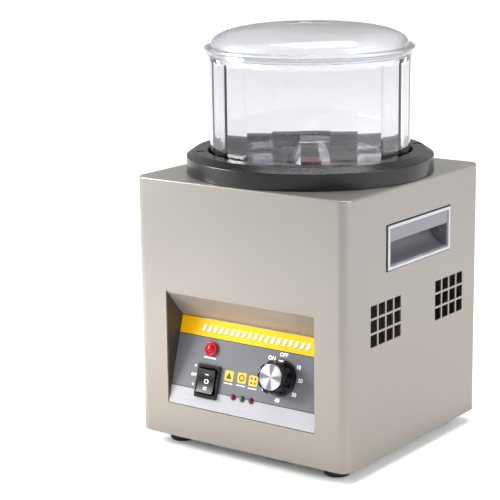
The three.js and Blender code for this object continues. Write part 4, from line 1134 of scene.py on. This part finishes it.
# ---- mains inlet
def inlet():
    """Mains inlet on the rear panel, with its three pins and two screws."""
    piece(refined("inlet_socket", 0.5), "control_plastic", "inlet_socket")
    rear, centre = span("inlet_socket")[1].y, middle("inlet_socket")
    half_width, half_height, pin_foot, pin_tip = 1, 2, 19, 4
    pins = [brick((centre.x + dx - half_width, rear - pin_foot, centre.z + dz - half_height),
                  (centre.x + dx + half_width, rear - pin_tip, centre.z + dz + half_height))
            for dx, dz in ((-7, -2), (0, 2), (7, -2))]
    piece(soften(put("inlet_pins", joined(*pins)), 0.4), "zinc_steel")
    gap, flange = 0.3, 2.6
    facing = at(centre.x, span("rear_panel")[1].y + gap + flange, centre.z) @ FACE_REAR
    screws("inlet_screws", [(-20, 0, 0), (20, 0, 0)], facing, radius=2.8, seed=7)


# ---- studio
def studio():
    floor_radius, floor_depth, gap = 9000, 20, 0.05
    floor = put("floor", block([point.to_2d() for point in circle(floor_radius, 0, 64)], -floor_depth, -gap))
    pale = Finish("pale_floor")
    speckle = pale.noise(4, 3)
    reach = pale.vector("LENGTH", pale.place(), output="Value")
    far_glow = pale.mix(pale.ramp(reach, 0.5, 2.5), (0, 0, 0, 1), (1, 1, 1, 1))
    floor.data.materials.append(pale.coat(pale.mix(speckle, (243, 243, 243), (246, 246, 246)),
                                          0.8 + speckle * 0.1, Specular_IOR_Level=0.0,
                                          Emission_Color=far_glow, Emission_Strength=0.4))

    world = bpy.data.worlds.new("studio")
    scene.world = world
    world.use_nodes = True
    world.node_tree.nodes.clear()
    sky = Graph(world.node_tree)
    seen = sky.node("ShaderNodeLightPath", output="Is Camera Ray")
    direction = sky.node("ShaderNodeTexCoord", output="Generated")
    panels = sky.node("ShaderNodeTexNoise", sockets={"Vector": direction, "Scale": 2.0, "Detail": 1.0})
    mirrored = sky.node("ShaderNodeLightPath", output="Is Glossy Ray")
    room = (sky.ramp(panels, 0.42, 0.58) * 0.5 + 0.45) * (1 - mirrored * 0.2)
    strength = seen * 1.02 + (1 - seen) * room
    light = sky.node("ShaderNodeBackground", sockets={"Color": (1, 1, 1, 1), "Strength": strength})
    sky.node("ShaderNodeOutputWorld", sockets={"Surface": light})

    def softbox(name, place, size, power):
        """Square light aimed at the middle of the machine."""
        data = fitted(bpy.data.lights.new(name, "AREA"), shape="SQUARE", size=size, energy=power)
        turn = (Vector(place) - Vector((0, 0, 0.2))).to_track_quat("Z", "Y").to_matrix().to_4x4()
        add(name, data).matrix_world = at(*place) @ turn

    softbox("near_light", (-0.7, -0.5, 0.45), size=0.4, power=13)
    softbox("fill_light", (2.0, 0.2, 1.0), size=1.2, power=30)
    softbox("top_light", (0.1, 0.2, 2.2), size=1.6, power=48)
    scene.view_settings.view_transform = "Standard"


# ---- build
for row in frame["record"]["subparts"]:
    for slot_of_node in frame["nodes"][row["node"]].material_slots:
        slot_of_node.material = FINISHES[row["material_slot"]]
for slot_of_node in frame["nodes"]["recess_pan"].material_slots:
    slot_of_node.material = recess_paint_and_shade()

cabinet_skin()
cabinet_back()
cabinet_base()
for foot_node in ("foot_front_left", "foot_front_right", "foot_rear_left", "foot_rear_right"):
    foot(foot_node)
seat_ring()
well_plate()
centre_boss()
bowl()
lid()
# The cups get a darker copy of the handle's silver: painted shade for the hollow of each cup.
cup_silver_painted_shade = silver_moulding("cup_silver_painted_shade", (108, 108, 114), (124, 124, 130))
for part_name, handle_finish in (("handle_bezel", None), ("handle_cup", cup_silver_painted_shade)):
    for hand_name in ("left", "right"):
        handle_node = f"{part_name}_{hand_name}"
        piece(refined(handle_node, 0.45, 3), "handle_silver", handle_node, finish=handle_finish)
piece(refined("rocker_housing", 0.5, 3), "control_plastic", "rocker_housing")
rocker()
lamp_lens()
led_red = lens_moulding("led_red", (84, 3, 12), (116, 6, 20))
led("led_left", -LED_PITCH, "lamp_red", led_red)
led("led_centre", 0, "lamp_green")
led("led_right", LED_PITCH, "lamp_red", led_red)
knob()
dial_cap()
panel_print()
inlet()
studio()
